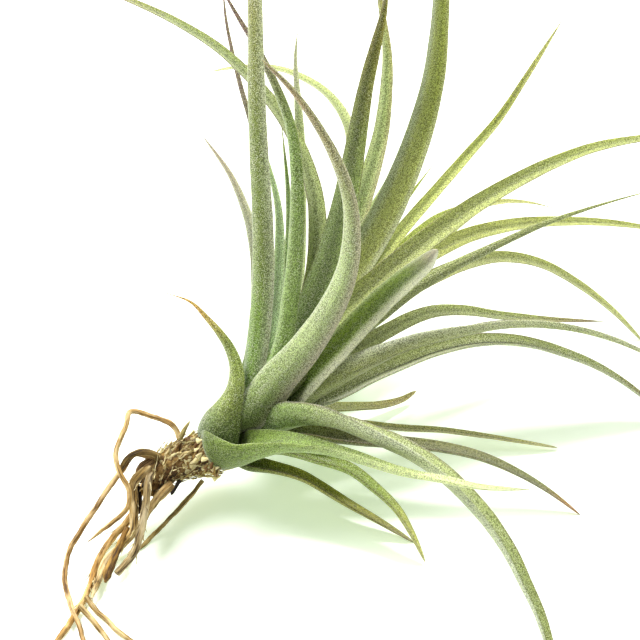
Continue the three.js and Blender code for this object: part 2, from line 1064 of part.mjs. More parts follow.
for (const [name, sheath] of Object.entries(DRY_SHEATHS)) {
  const shell = drySheathSolid(sheath);
  addPiece(name, shell, shell, "straw");
}

for (const [name, root] of Object.entries(ROOTS)) {
  addPiece(name, rootSolid(root, 0), rootSolid(root, CLEARANCE), "wire");
}

// The origin goes to the middle of the floor of the plant's own box.
const bounds = new THREE.Box3().setFromObject(plant);
const middle = bounds.getCenter(new THREE.Vector3());
plant.position.set(-middle.x, -middle.y, -bounds.min.z);

export default plant;
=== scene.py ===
"""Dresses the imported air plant: channelled leaves, a fibrous stem, dry sheaths and wiry roots on a floor.

Tables are in millimetres as seen along one sight line: right, up, and near, which is towards the viewer.
Everything made here is in metres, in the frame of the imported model.
"""

import math
import random
from collections import namedtuple

import bpy
from bpy.props import FloatProperty, FloatVectorProperty, IntProperty, PointerProperty
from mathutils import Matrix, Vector


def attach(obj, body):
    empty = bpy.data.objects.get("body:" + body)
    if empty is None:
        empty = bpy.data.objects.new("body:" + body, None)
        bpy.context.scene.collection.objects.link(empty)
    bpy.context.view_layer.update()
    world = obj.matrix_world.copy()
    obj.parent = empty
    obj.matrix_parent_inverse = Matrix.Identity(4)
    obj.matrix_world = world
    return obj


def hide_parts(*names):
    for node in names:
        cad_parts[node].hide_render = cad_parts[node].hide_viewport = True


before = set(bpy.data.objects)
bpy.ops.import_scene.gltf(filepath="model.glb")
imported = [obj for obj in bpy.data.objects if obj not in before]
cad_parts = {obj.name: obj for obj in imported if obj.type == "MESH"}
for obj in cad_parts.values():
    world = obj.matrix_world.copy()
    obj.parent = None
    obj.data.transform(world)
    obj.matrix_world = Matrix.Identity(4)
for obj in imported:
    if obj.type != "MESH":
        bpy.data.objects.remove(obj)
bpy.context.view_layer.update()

bl_info = {
    "name": "Lying Air Plant",
    "version": (1, 0, 0),
    "blender": (4, 5, 0),
    "location": "3D View > Sidebar > Air Plant",
    "description": "Leaves, stem and roots of a small air plant that lies as picked",
    "category": "Object",
}

# Where things are
MM = 0.001
TO_MM = 1000
SIGHT_TILT = math.radians(50)
SIGHT_DISTANCE = 500
SIGHT_CENTRE = (29.4, 36.4)
PICTURE_SIDE = 179.2  # what the picture spans at the crown
CROWN = Vector((-53.981, -42.645, 15.0))  # where the stem ends and the rosette's axis starts
AXIS_RISE = (0.655, 0.755)  # the way of the rosette's axis in the picture: right and up

# Smooth lines
FINE = 20  # points in each span of a smooth line
LEAST_STEPS = 4
UPWARD = Vector((0.2, -0.3, 1)).normalized()  # where a round strand faces first
NO_ZERO = 1e-6
ROUNDING = 1e-9

# Leaves
SHEATH_LENGTH = 15
SHEATH_SPREAD = 1.12  # how wide a clasping base is against its blade
SHEATH_SEAT = 0.4  # how far outside the core a leaf starts
SUNK_SEAT = -3.5  # the same for a leaf that starts inside the core
MOUTH = (1.25, 1.25)  # how far a channel turns to the viewer at a blade's base and tip
BACK_SHOWN = (-1.25, -1.25)  # the same for a leaf that shows its back
GATHERED = 0.35  # how wide a base starts, against its full width
GATHER_LENGTH = 7
FACING_SHARE = 0.3  # the share of a leaf's length where its channel turns from the stem to its own way
LONGEST_SHEATH_SHARE = 0.4
BLADE_TAPER = 0.62
TAIL_TAPER = 0.3  # a slim tail keeps its width almost to its tip
FOLDS = (72, 58)  # half of the angle that a sheath and a blade bend through, in degrees
TIP_FOLD = math.radians(60)
KEEL = 0.25  # how much a blade's section is a sharp fold
THICKEST = 0.6  # a blade's thickness against its width, at most
SWAY_RATE = 60  # how fast a blade's width varies along a metre
CURL_RATE = 90  # how fast its surface does
CURL_SPAN = 1.2  # the same across its section

# Leaf skin: shares of a leaf's length or half width, and distances in millimetres
DEEP_GREEN = (0.01, 0.02, 0.004)
VEIN_GREEN = (0.2, 0.24, 0.06)
# the colour of the painted shade inside a leaf's channel
CHANNEL_SHADE_GREEN = (0.02, 0.045, 0.008)
# the colour of the painted shade along a blade's fold, a dark line down its middle
FOLD_SHADE_BROWN = (0.03, 0.03, 0.012)
BODY_FROM = (0.12, 0.42)
# the share of half width where the painted shade inside a channel fades out
CHANNEL_SHADE_HALF = (0.05, 0.55)
FOLD_SHADE_HALF = (0.03, 0.12)
FOLD_SHADE_FROM = (0.15, 0.4)
# painted light and shade on one side of a blade: the share of half width where it starts, and how it fades in
# along the leaf
SIDE_SHADING_HALF = (0.05, 0.6)
SIDE_SHADING_FADE = 0.2
MARGIN_END = 0.99
# how far in from the margin its colour reaches: a plum margin is the leaf's own colour, a pale one is partly
# its own and partly a painted highlight on the lit rim
MARGIN_WIDTHS = {"pale": 0.45, "plum": 0.14}
# how strong the painted shade inside a channel is, unless a leaf gives its own
CHANNEL_SHADE = 0.25
SHADED_BASE = (3.0, 20.0)  # the leaves round it shade a leaf's base
SHADED_LEAST = 0.5
BARE_BASE = (2.0, 12.0)  # the coat of scales is thin at a leaf's base
BARE_LEAST = 0.35
DARK_GRAIN = (0.4, 0.6)
COATED_GRAIN = (0.14, 0.32)
DARKENED = 0.62

# Stem
CORE_RADIUS = 4.6
CORE_TOP_RADIUS = 1.6
CORE_LENGTH = 27
CORE_STOPS = (10, 18, CORE_LENGTH)
STEM_STEP = 0.5 * MM
GOLDEN_ANGLE = math.radians(137.5)
SCAR_PITCH = 2.6 * MM
SCAR_HEIGHT = 0.55 * MM
STEM_GREEN = (0.09, 0.14, 0.03)
# near black: painted shade in the gaps between the stem's flakes
STEM_GAP_SHADE = (0.01, 0.006, 0.003)
GREEN_FROM = 0.5  # the share of the stem's length where its green core starts
GREEN_FADE = 0.06
NOWHERE = 2.0  # past every strand's end, so that no green shows

# Flakes and fibres on the stem
FLAKE_STEP = 0.6 * MM
FLAKED = (0.08, 0.47)  # the part of the stem's line that loose flakes cover
FLAKE_TURN = 0.4
FLAKE_CLIMB = 0.4  # how much a flake heads up the picture
FLAKE_LIFT = (-0.08, 0.14)
FLAKE_SWAY = 0.9
FLAKE_SCALES = ((0.5, 0.4, 1.0), (1.3, 1.25, 1.0))
FLAKE_TAPER = (1.6, 0.92)
FLAKE_WRAP = -1.1
CRUMPLE_RATE = 700.0
SHEATH_FLAKES = 32
STEM_SEED = 11

# Roots
ROOT_STEP = 0.45 * MM
POINT_SHARE = 0.12  # the share of a root's length that narrows to its point
POINT_LEAST = 0.12
POINT_CURVE = 0.6
HAIRY_ROOTS = ("root_thick", "root_amber", "root_flat_end")
HAIRY_SHARE = (0.05, 0.75)
HAIR_LEAN = 0.2
HAIR_SWAY = 0.7
HAIR_SEED = 5

# Gloss
SPECULAR = 0.3
SHEEN_ROUGHNESS = 0.35
GLOW_TINT = (0.9, 1.0, 0.4)
GLOW_DEPTH = 2 * MM

# Stage
SHADE_REACH = (0.1, 0.2)  # how far from the plant the shadows' tint fades out
FAR_GLOW = (1.6, 1.6, 1.6)
FLOOR_HALF = 3.0
FLOOR_ROUGHNESS = 0.6
DAYLIGHT_TINT = (1.0, 0.99, 0.95, 1)
NEAREST_SEEN = 0.01
LAMPS = {
    "key": dict(spot=(0.35, 0.55, 0.8), size=0.14, share=1.0),
    "fill": dict(spot=(-0.65, 0.35, 0.75), size=0.5, share=1.6),
}

# Each leaf starts "at" millimetres up the rosette's axis and follows its line: right, up, near.
# Its base may be wide (sheath), long (clasp), drawn in (gathered, over gather), aslant (slant), set into the
# core (sunk) or drawn by its line alone (whole). Its blade narrows by taper and tail. Its channel faces by
# mouth, turned and steady, bends by folds and keel, and is darkened inside by painted shade (channel_shade).
# Its colours are written as they look: base, body, tip (from tip_from on), one side painted lighter or darker
# as painted light and shade (side_shading, on the side by the sign of side_shading_amount, from
# side_shading_from on) and margins (edge, as strong as edged; a pale margin is partly a painted highlight).
# It has a dark brown midline as painted shade of its fold, as far as fold_shade says, and a coat of pale
# scales as thick as frost says.
LEAVES = {
    "leaf_tall_upright": dict(
        at=9, width=8.6, taper=0.45, mouth=BACK_SHOWN, side_shading="a8ae90", side_shading_amount=0.5, slot="leaf_silver",
        base="74904c", body="6e7a48", tip="8e8660", tip_from=0.4, edge="pale", edged=0.5, frost=0.8,
        line=[
            (8.4, 15.4, 6), (11.5, 32, 9), (12.9, 47.6, 11), (12.9, 61.6, 13), (12, 78.4, 14),
            (11.2, 98, 15), (10.9, 117.6, 15), (10.9, 142.8, 14), (12.6, 173.6, 10),
        ],
    ),
    "leaf_left_arch": dict(
        at=15, width=8.2, taper=0.5, slot="leaf_green",
        base="7c9258", body="9ea67c", tip="a09a74", tip_from=0.8, edge="plum", edged=0.7, frost=0.5,
        line=[
            (21, 28, -8), (26.9, 44.8, -12), (28.3, 57.4, -15), (27.7, 70, -17), (24.6, 81.2, -18),
            (19.3, 91.8, -18), (12, 101.4, -17), (1.4, 111.7, -15), (-9.8, 119, -12),
            (-25.2, 126.3, -8), (-36.7, 130.5, -4),
        ],
    ),
    "leaf_front_curl": dict(
        at=8, width=12.5, taper=1.7, mouth=BACK_SHOWN, sheath=13.5, clasp=20, tail=0.34,
        side_shading="aaa48c", side_shading_amount=0.7, slot="leaf_silver",
        base="889a60", body="a4b084", tip="94806e", tip_from=0.5, edge="pale", edged=0.5, frost=0.8,
        line=[
            (13.2, 14, 9), (17.1, 19.3, 13), (23, 25.8, 18), (30.2, 35.8, 25), (35.6, 46.8, 33),
            (37.8, 57.4, 41), (37.5, 68.6, 48), (34.2, 79.8, 54), (28.3, 91, 59), (21.3, 100.8, 63),
            (13.2, 109.2, 66),
        ],
    ),
    "leaf_slim_curl": dict(
        at=12, width=7.6, taper=0.84, mouth=BACK_SHOWN, tail=0.35, slot="leaf_green",
        base="809a54", body="788a56", tip="80686c", tip_from=0.6, edge="plum", edged=0.4, frost=0.6,
        line=[
            (13.2, 18.2, 4), (18.5, 29.4, 2), (20.7, 42, 1), (22, 54.6, 0), (22.7, 68.6, 0),
            (22, 84, 1), (19.9, 93.8, 2), (16.2, 103, 4), (11.5, 112.6, 6), (6.4, 121, 9),
            (1.7, 129.4, 11),
        ],
    ),
    "leaf_thread_tip": dict(
        at=11, width=4.0, tail=0.5, slot="leaf_silver",
        base="7e9250", body="6e7850", tip="8a7474", tip_from=0.4, edge="plum", edged=0.5, frost=0.5,
        line=[
            (13.2, 28, -15), (14.6, 47.6, -22), (13.4, 70, -27), (10.4, 89.6, -29), (7.3, 100.8, -29),
            (4.8, 111, -29), (3, 120.4, -28), (2.2, 128.8, -27),
        ],
    ),
    "leaf_back_hook": dict(
        at=14, width=8, tail=0.4, slot="leaf_lime",
        base="809558", body="a0a878", tip="bcc090", tip_from=0.7, edge="pale", edged=0.3, frost=0.4,
        line=[
            (23.8, 33.6, -25), (33.6, 58.8, -45), (38, 78.4, -60), (37.5, 89.6, -68),
            (32.2, 98.6, -75), (23.8, 104.4, -82), (15.4, 107, -88), (5.9, 107, -94), (-0.8, 106, -98),
        ],
    ),
    "leaf_back_spire": dict(
        at=13, width=9.5, taper=0.7, slot="leaf_lime",
        base="8ca468", body="7c8858", tip="b0b09c", tip_from=0.6, edge="pale", edged=0.3, frost=0.4,
        line=[
            (16.8, 28, -18), (21.6, 47.6, -28), (23.2, 70, -38), (23.5, 86.8, -44), (23, 98, -47),
            (22.4, 109.2, -50), (23.2, 118.2, -52),
        ],
    ),
    "leaf_back_left": dict(
        at=8, width=8, slot="leaf_silver",
        base="87a060", body="7a7c64", tip="8a7c6c", tip_from=0.6, edge="pale", edged=0.3, frost=0.6,
        line=[
            (10.4, 25.2, -26), (12, 43.4, -46), (10.6, 58.8, -64), (7.8, 68.6, -77), (3.9, 77.3, -88),
            (-3.4, 87.9, -102.3),
        ],
    ),
    "leaf_green_inner": dict(
        at=13, width=6, slot="leaf_lime",
        base="7c9060", body="9cae88", tip="98a064", tip_from=0.8, edge="pale", edged=0.2, frost=0.4,
        line=[
            (13.2, 23.8, -5), (16.5, 39.2, -8), (17.9, 56, -11), (17.4, 68.6, -13), (14.8, 79.8, -15),
            (12, 89.6, -16),
        ],
    ),
    "leaf_slim_inner": dict(
        at=14, width=4.5, slot="leaf_silver",
        base="8aa068", body="84986a", tip="a0a880", tip_from=0.8, edge="pale", edged=0.3, frost=0.5,
        line=[
            (14.8, 25.2, -9), (18.8, 42, -13), (20.4, 58.8, -16), (20.2, 74.2, -18), (19.3, 84, -19),
            (18.5, 91.8, -19),
        ],
    ),
    "leaf_centre": dict(
        at=17, width=12.5, taper=0.65, channel_shade=0.4, slot="leaf_green",
        base="8aa860", body="94a470", tip="8a8058", tip_from=0.4, edge="plum", edged=0.35, frost=0.8,
        line=[
            (18.2, 23.8, -3), (24.9, 35.6, -4), (30, 47.6, -5), (33.3, 58.8, -6), (36.7, 72.8, -7),
            (39.2, 86.8, -7), (41.7, 100.8, -6), (44.8, 113.4, -4), (47.3, 123.8, -1), (48.2, 133, 3),
        ],
    ),
    "leaf_centre_edge": dict(
        at=20, width=10, side_shading="b8a890", side_shading_amount=-0.4, slot="leaf_lime",
        base="8aa052", body="c4cea4", tip="b8b080", tip_from=0.75, edge="plum", edged=0.5, frost=0.3,
        line=[
            (23.8, 32.2, -12), (35.6, 56, -17), (41.7, 72.8, -19), (45.9, 87.6, -20),
            (47.6, 100.8, -19), (47.9, 110.6, -18), (46.8, 120.4, -16), (45.4, 129.4, -13),
            (43.7, 138.6, -10),
        ],
    ),
    "leaf_tall_centre": dict(
        at=19, width=12.5, taper=0.5, side_shading="98a278", side_shading_amount=0.9, channel_shade=0.1, slot="leaf_green",
        base="949c34", body="aab076", tip="a0a868", tip_from=0.8, edge="pale", edged=0.6, frost=0.4,
        line=[
            (23.8, 30.2, -8), (36.4, 48.2, -11), (45.4, 62.2, -13), (51.8, 75.6, -13), (57, 89.6, -12),
            (60.5, 103.6, -9), (62.2, 117.6, -5), (63, 134.4, 1), (62.4, 151.2, 9), (59.6, 169.4, 20),
        ],
    ),
    "leaf_bud_tip": dict(
        at=23, width=4.5, slot="leaf_lime",
        base="88a040", body="90a04c", tip="b0b870", tip_from=0.7, edge="pale", edged=0.2, frost=0.2,
        line=[
            (30.8, 37.8, -17), (44.8, 57.4, -21), (54, 70.6, -23), (60.8, 79.5, -24),
        ],
    ),
    "leaf_right_spear": dict(
        at=22, width=6, taper=0.5, slot="leaf_lime",
        base="b0bc68", body="c2c88c", tip="e6e4b4", tip_from=0.7, edge="plum", edged=0.2, frost=0.3,
        line=[
            (29.4, 33.6, -15), (44, 51, -19), (53.2, 62.7, -22), (62.2, 73, -24), (69.4, 81.2, -25),
            (79, 92.4, -24), (86.5, 103.6, -21), (97.2, 120.4, -16),
        ],
    ),
    "leaf_right_pale": dict(
        at=17, width=8, taper=0.7, slot="leaf_lime",
        base="b8cc80", body="b8c080", tip="d0cc98", tip_from=0.7, edge="pale", edged=0.2, frost=0.2,
        line=[
            (35, 40, -20), (47, 50.5, -26), (57, 60.5, -31), (64.4, 65.5, -34), (79.8, 69.4, -41),
            (88.2, 69.2, -45), (94.6, 67.8, -48),
        ],
    ),
    "leaf_right_arch": dict(
        at=16, width=9.6, taper=0.7, fold_shade=0.2, slot="leaf_green",
        base="9cac6c", body="a8ae78", tip="aeae82", tip_from=0.8, edge="plum", edged=0.5, frost=0.5,
        line=[
            (25.2, 28, -1), (36.4, 39.2, -3), (49, 50.4, -4), (60.8, 59.9, -5), (71, 67.2, -6),
            (82.6, 74.2, -6), (93.8, 79.8, -6), (105.6, 84.3, -5), (119, 87, -4), (133, 88.2, -2),
            (146.4, 86.2, 0),
        ],
    ),
    "leaf_front_reach": dict(
        at=12, width=10, keel=0.15, turned=0.0, folds=(76, 60), mouth=(1.2, 1.2), taper=0.42, steady=True,
        channel_shade=0.3, side_shading="a8ab8a", side_shading_amount=-1.0, slot="leaf_green",
        base="566c18", body="6c8024", tip="b0a494", tip_from=0.62, edge="pale", edged=0.5, frost=0.45,
        line=[
            (18.2, 12.6, 0), (23.8, 17.9, 4), (35, 29.4, 15), (46.2, 41.2, 29), (54, 48.2, 44),
            (59.4, 52.6, 60), (62.4, 56, 80),
        ],
    ),
    "leaf_right_thin": dict(
        at=13, width=8, taper=1.2, mouth=BACK_SHOWN, slot="leaf_silver",
        base="78804c", body="8c9268", tip="a0a07c", tip_from=0.7, edge="plum", edged=0.3, frost=0.6,
        line=[
            (29.4, 25.2, 6), (43.4, 35.8, 6), (54.6, 44.2, 5), (64.4, 50, 4), (74.2, 54.9, 2),
            (91, 62.7, -2), (103.6, 67.2, -5), (119, 71.7, -9), (133.6, 74.8, -13),
        ],
    ),
    "leaf_right_back": dict(
        at=14, width=8.6, taper=0.7, slot="leaf_lime",
        base="8ca058", body="b0b47a", tip="b6ba88", tip_from=0.8, edge="plum", edged=0.3, frost=0.3,
        line=[
            (32.2, 33, -14), (51.8, 49.6, -22), (68.6, 59, -30), (79.8, 62.2, -36), (91, 63.6, -43),
            (107.8, 63.6, -53), (121.8, 61.9, -62), (136.9, 58, -71),
        ],
    ),
    "leaf_right_hook": dict(
        at=11, width=6.4, taper=0.35, slot="leaf_lime",
        base="848e54", body="a4a878", tip="bcbe90", tip_from=0.7, edge="plum", edged=0.3, frost=0.3,
        line=[
            (35, 32.2, -16), (54.6, 44.8, -22), (68.6, 51.5, -27), (79.8, 53.8, -32), (91, 52, -36),
            (102.2, 45.9, -40), (111.2, 38.9, -43), (119.6, 30.5, -45),
        ],
    ),
    "leaf_side_short": dict(
        at=9, width=7, taper=0.6, slot="leaf_green",
        base="909c60", body="a6ac80", tip="8a7a5c", tip_from=0.7, edge="plum", edged=0.3, frost=0.4,
        line=[
            (26.6, 20.4, -8), (43.4, 30.5, -11), (58.8, 38, -15), (68.6, 38.9, -18), (79.8, 37.5, -22),
            (93.8, 36.4, -28), (108.6, 36, -34),
        ],
    ),
    "leaf_side_channel": dict(
        at=8, width=9.5, taper=0.5, keel=0.4, turned=0.05, mouth=(-0.6, 0.1), folds=(98, 75), sheath=9,
        side_shading="b6ba9e", side_shading_amount=-0.6, fold_shade=0.5, slot="leaf_green",
        base="96a06c", body="a0a478", tip="8a7a60", tip_from=0.8, edge="plum", edged=0.7, frost=0.6,
        line=[
            (19.6, 12.3, -3), (27.2, 16.5, 0), (35.6, 21, 2), (46.2, 26, 3), (55.7, 29.7, 2),
            (68, 32.8, 0), (80.6, 35, -4), (93, 35, -8), (105.6, 32.8, -11), (117.9, 28.3, -15),
            (132.4, 20.7, -20),
        ],
    ),
    "leaf_side_low": dict(
        at=6, width=8.4, taper=0.38, keel=0.4, turned=0.05, mouth=(0.3, 0.4), folds=(95, 72),
        side_shading="b2b696", side_shading_amount=-0.8, fold_shade=0.9, slot="leaf_silver",
        base="808a5c", body="8a9066", tip="6a5444", tip_from=0.8, edge="plum", edged=1.0, frost=0.7,
        line=[
            (22.4, 10.6, -6), (32.2, 14.6, -6), (42, 19.6, -7), (51.8, 23.8, -8), (63, 28, -9),
            (74.2, 30.2, -11), (85.4, 30, -13), (96.6, 27.2, -16), (107.8, 22.7, -19),
            (119, 15.4, -22), (128, 7, -24),
        ],
    ),
    "leaf_stub": dict(
        at=5, width=6.5, taper=0.4, turned=0.08, mouth=(0.3, 0.3), slot="leaf_olive",
        base="86984c", body="8a8c5c", tip="a89c74", tip_from=0.6, edge="plum", edged=0.2, frost=0.4,
        line=[
            (23.8, 10.6, -14), (39.2, 11.8, -21), (46.2, 12.3, -24), (52.4, 14, -27),
            (56.3, 16.5, -28),
        ],
    ),
    "leaf_front_sweep": dict(
        at=6, width=12, taper=0.45, sheath=9.5, clasp=16, turned=0.05, mouth=(0.0, 0.6), folds=(95, 80),
        side_shading="b2ba9c", side_shading_amount=-0.65, side_shading_from=0.42, fold_shade=0.7, slot="leaf_green",
        base="7e9658", body="a2aa7e", tip="a2a870", tip_from=0.8, edge="plum", edged=0.7, frost=0.8,
        line=[
            (13.2, 6.2, 2), (19.6, 8.4, 8), (25.2, 9.2, 13), (33.6, 8.4, 19), (43.4, 4.5, 24),
            (53.2, 0, 27), (63.3, -6.7, 30), (74.2, -17.6, 32), (81.2, -27.4, 33), (86.2, -37.2, 34),
            (91, -47.6, 34), (97.2, -70, 33),
        ],
    ),
    "leaf_front_low": dict(
        at=0, width=9.2, sheath=16, clasp=40, turned=0.0, mouth=(0.32, 0.5), folds=(108, 75), whole=True,
        gathered=0.4, slant=4.5, slot="leaf_lime",
        base="70843a", body="8aa05c", tip="dce4b4", tip_from=0.1, edge="pale", edged=0.06, frost=0.5,
        line=[
            (-3.4, 1.7, 3), (-0.8, 0.6, 6), (2.5, -0.3, 8.5), (6.4, -0.4, 10.5), (11.5, 0.6, 12),
            (19.6, 1.4, 14), (29.4, 0.3, 16.5), (37.8, -1.7, 21), (51.8, -6.2, 31), (63, -8.4, 37),
            (74.2, -10.6, 39.5), (88.2, -11.2, 40),
        ],
    ),
    "leaf_low_thin": dict(
        at=3, width=4.6, taper=0.35, turned=0.08, mouth=(0.3, 0.5), slot="leaf_olive",
        base="b8c890", body="dcd8ac", tip="dcd8a8", tip_from=0.6, edge="plum", edged=0.2, frost=0.4,
        line=[
            (23.8, 7.8, -9), (37.8, 7.3, -12), (51.8, 5.9, -14), (63, 5.3, -15), (74.2, 3.9, -16),
            (85.4, 2.2, -17), (95.8, 0.6, -18),
        ],
    ),
    "leaf_low_brown": dict(
        at=3, width=8.6, taper=0.5, turned=0.08, mouth=(0.3, 0.5), folds=(90, 70), slot="leaf_olive",
        base="90a05c", body="7e7e5e", tip="b07c50", tip_from=0.85, edge="plum", edged=0.8, frost=0.4,
        line=[
            (21, 4.8, -1), (35, 3, -1), (49, 1.7, -1), (63, 0.3, -1), (74.2, -2.2, -1), (85.4, -7, -2),
            (93.8, -12, -3), (102.2, -18.2, -4),
        ],
    ),
    "leaf_low_speckled": dict(
        at=2, width=8.4, taper=0.5, turned=0.08, mouth=(0.3, 0.6), folds=(90, 70), slot="leaf_olive",
        base="8a9e5c", body="9aaa64", tip="d8d494", tip_from=0.6, edge="plum", edged=0.6, frost=0.9,
        line=[
            (15.4, 0.3, 2), (30.8, -3.4, 3), (37.8, -5.9, 4), (44.8, -11.2, 5), (50.4, -16.5, 6),
            (54.6, -23, 7), (58.8, -31.4, 7),
        ],
    ),
    "leaf_lowest": dict(
        at=1, width=7, taper=0.45, turned=0.08, mouth=(0.3, 0.5), folds=(90, 70), slot="leaf_olive",
        base="76863c", body="a09e5c", tip="a8a078", tip_from=0.6, edge="plum", edged=0.8, frost=0.5,
        line=[
            (7, -3.6, -2), (16.8, -5.6, -3), (23.8, -7.6, -3), (29.4, -10.6, -2), (37.8, -15.7, 0),
            (46.2, -20.4, 1), (55.7, -26, 2),
        ],
    ),
    "leaf_small_left": dict(
        at=-2, width=8.2, taper=1.05, mouth=BACK_SHOWN, sheath=16.5, clasp=26, sunk=True, gather=5,
        slot="leaf_olive",
        base="728658", body="869258", tip="e0b080", tip_from=0.55, edge="plum", edged=0.4, frost=0.8,
        line=[
            (0, 4.5, 6), (3.1, 10.6, 8), (5.3, 16.8, 9), (5.6, 22.4, 9), (3.9, 28, 9), (1.1, 32.5, 10),
            (-2.8, 37.2, 10), (-7, 41.4, 11), (-14.6, 44.2, 12),
        ],
    ),
    "leaf_behind_right": dict(
        at=12, width=6, slot="leaf_green",
        base="809850", body="94a464", tip="b0b078", tip_from=0.7, edge="pale", edged=0.3, frost=0.4,
        line=[
            (32.2, 33, -28), (50.4, 50.4, -45), (63, 58.8, -60), (72.8, 66, -72), (77, 68.6, -79),
        ],
    ),
    "leaf_behind_centre": dict(
        at=10, width=6, slot="leaf_green",
        base="7c9450", body="8ea062", tip="a8a874", tip_from=0.7, edge="pale", edged=0.3, frost=0.4,
        line=[
            (23.8, 32.2, -30), (35, 51.8, -50), (42.8, 65.8, -68), (48.4, 75.6, -83),
            (53.2, 82.6, -94),
        ],
    ),
    "leaf_behind_left": dict(
        at=6, width=6, slot="leaf_green",
        base="7c9450", body="849858", tip="a4a070", tip_from=0.7, edge="pale", edged=0.3, frost=0.5,
        line=[
            (11.5, 23.8, -26), (13.2, 37.8, -44), (13.2, 50.4, -60), (12.3, 60.2, -71),
            (11.8, 66.6, -78),
        ],
    ),
    "leaf_behind_side": dict(
        at=7, width=5.5, slot="leaf_green",
        base="4c6a20", body="6c8434", tip="a89c70", tip_from=0.7, edge="plum", edged=0.3, frost=0.5,
        line=[
            (23.8, 15.4, -20), (33.6, 20.7, -24), (42, 24.6, -27), (50.4, 28, -29), (60.2, 31.4, -32),
        ],
    ),
    "leaf_behind_short": dict(
        at=3, width=5, slot="leaf_olive",
        base="6c7c3c", body="84905a", tip="b09468", tip_from=0.6, edge="plum", edged=0.3, frost=0.5,
        line=[
            (7, 11.2, -18), (9.5, 19.6, -29), (10.9, 28, -40),
        ],
    ),
    "leaf_under_short": dict(
        at=2, width=5, slot="leaf_olive",
        base="6c7838", body="7e8850", tip="b08c60", tip_from=0.6, edge="plum", edged=0.4, frost=0.5,
        line=[
            (12, 7, -15), (19.6, 11.8, -24), (27.2, 15.7, -31),
        ],
    ),
}

# Each root has its pale, middle and dark tone, its thickness at both ends and its middle line.
ROOTS = {
    "root_long_left": dict(
        tones=("e0c28c", "a8834a", "5c4020"), thick=(1.7, 1.3),
        line=[
            (-17, -2.5, 3), (-22.4, -1.2, 5), (-26.6, -6.4, 7), (-32.2, -14.3, 7), (-38.4, -23.8, 8),
            (-41.2, -29.4, 8.5), (-42, -35.8, 11.2), (-40.6, -43, 16.2), (-38.2, -48.7, 20.2),
            (-36, -56, 25), (-31, -63, 29.8),
        ],
    ),
    "root_loop": dict(
        tones=("ecd39a", "bb9656", "70522c"), thick=(1.6, 1.3),
        line=[
            (-10, 3.4, 4), (-12, 7, 4.5), (-19.6, 10, 5), (-23.8, 10.6, 6), (-25, 6.5, 8),
            (-27.6, 0, 9.5), (-27, -5.6, 10.5), (-24.2, -11.2, 11), (-24.6, -16.2, 11.5),
            (-29.4, -20.7, 11.5), (-35.6, -25.6, 12),
        ],
    ),
    "root_flat_end": dict(
        tones=("dccaa0", "ac9462", "3e2e18"), thick=(2.2, 2), blunt=True,
        line=[
            (-16.8, -5.6, 2), (-18.5, -8, 5.5), (-19.2, -13.5, 7.5), (-20, -19, 8.5), (-21.2, -24.4, 9.5),
            (-23.2, -29.6, 10.5), (-27.6, -34.6, 13),
        ],
    ),
    "root_thick": dict(
        tones=("e8d2a0", "b89858", "48341a"), thick=(2.7, 2),
        line=[
            (-17.4, -3.6, 1), (-19.5, -5.5, 4.5), (-22.8, -9.5, 5), (-22.6, -16.5, 5), (-22.8, -22.5, 6),
            (-26.5, -27, 6.5), (-30.5, -31.2, 8.5), (-32.6, -36.5, 12), (-34.5, -41.5, 16),
        ],
    ),
    "root_amber": dict(
        tones=("e2c280", "b58b48", "6c4a22"), thick=(2.1, 1.5),
        line=[
            (-18.2, -8.4, 0), (-20.5, -11, 1.5), (-23.5, -18.5, 2), (-28.5, -24.5, 3), (-32.6, -30.5, 7),
            (-35, -38, 12.3), (-38, -44, 16.5), (-42, -50.5, 21.2), (-48, -58, 26.6),
        ],
    ),
    "root_fork": dict(
        tones=("d8bf88", "a88c54", "64491f"), thick=(1.5, 1.3),
        line=[
            (-36, -41, 15.5), (-33.3, -45, 17.5), (-31, -47, 18.8), (-26.6, -51.2, 21.8),
            (-19.6, -56, 25.2),
        ],
    ),
    "root_fork_low": dict(
        tones=("d8bf88", "a88c54", "64491f"), thick=(1.6, 1.3),
        line=[
            (-37.8, -43.5, 17.5), (-35.6, -46.2, 18.6), (-33.6, -48.4, 20.1), (-30, -53.2, 23.5),
            (-27, -58, 27),
        ],
    ),
    "root_straight": dict(
        tones=("b8a368", "8a743c", "4c3c1c"), thick=(1.3, 1.2),
        line=[
            (-3.5, -8.5, 0.5), (-7.5, -13.5, 0), (-13, -19.5, 1), (-18.5, -25, 2.5), (-22, -28.5, 4.5),
        ],
    ),
}

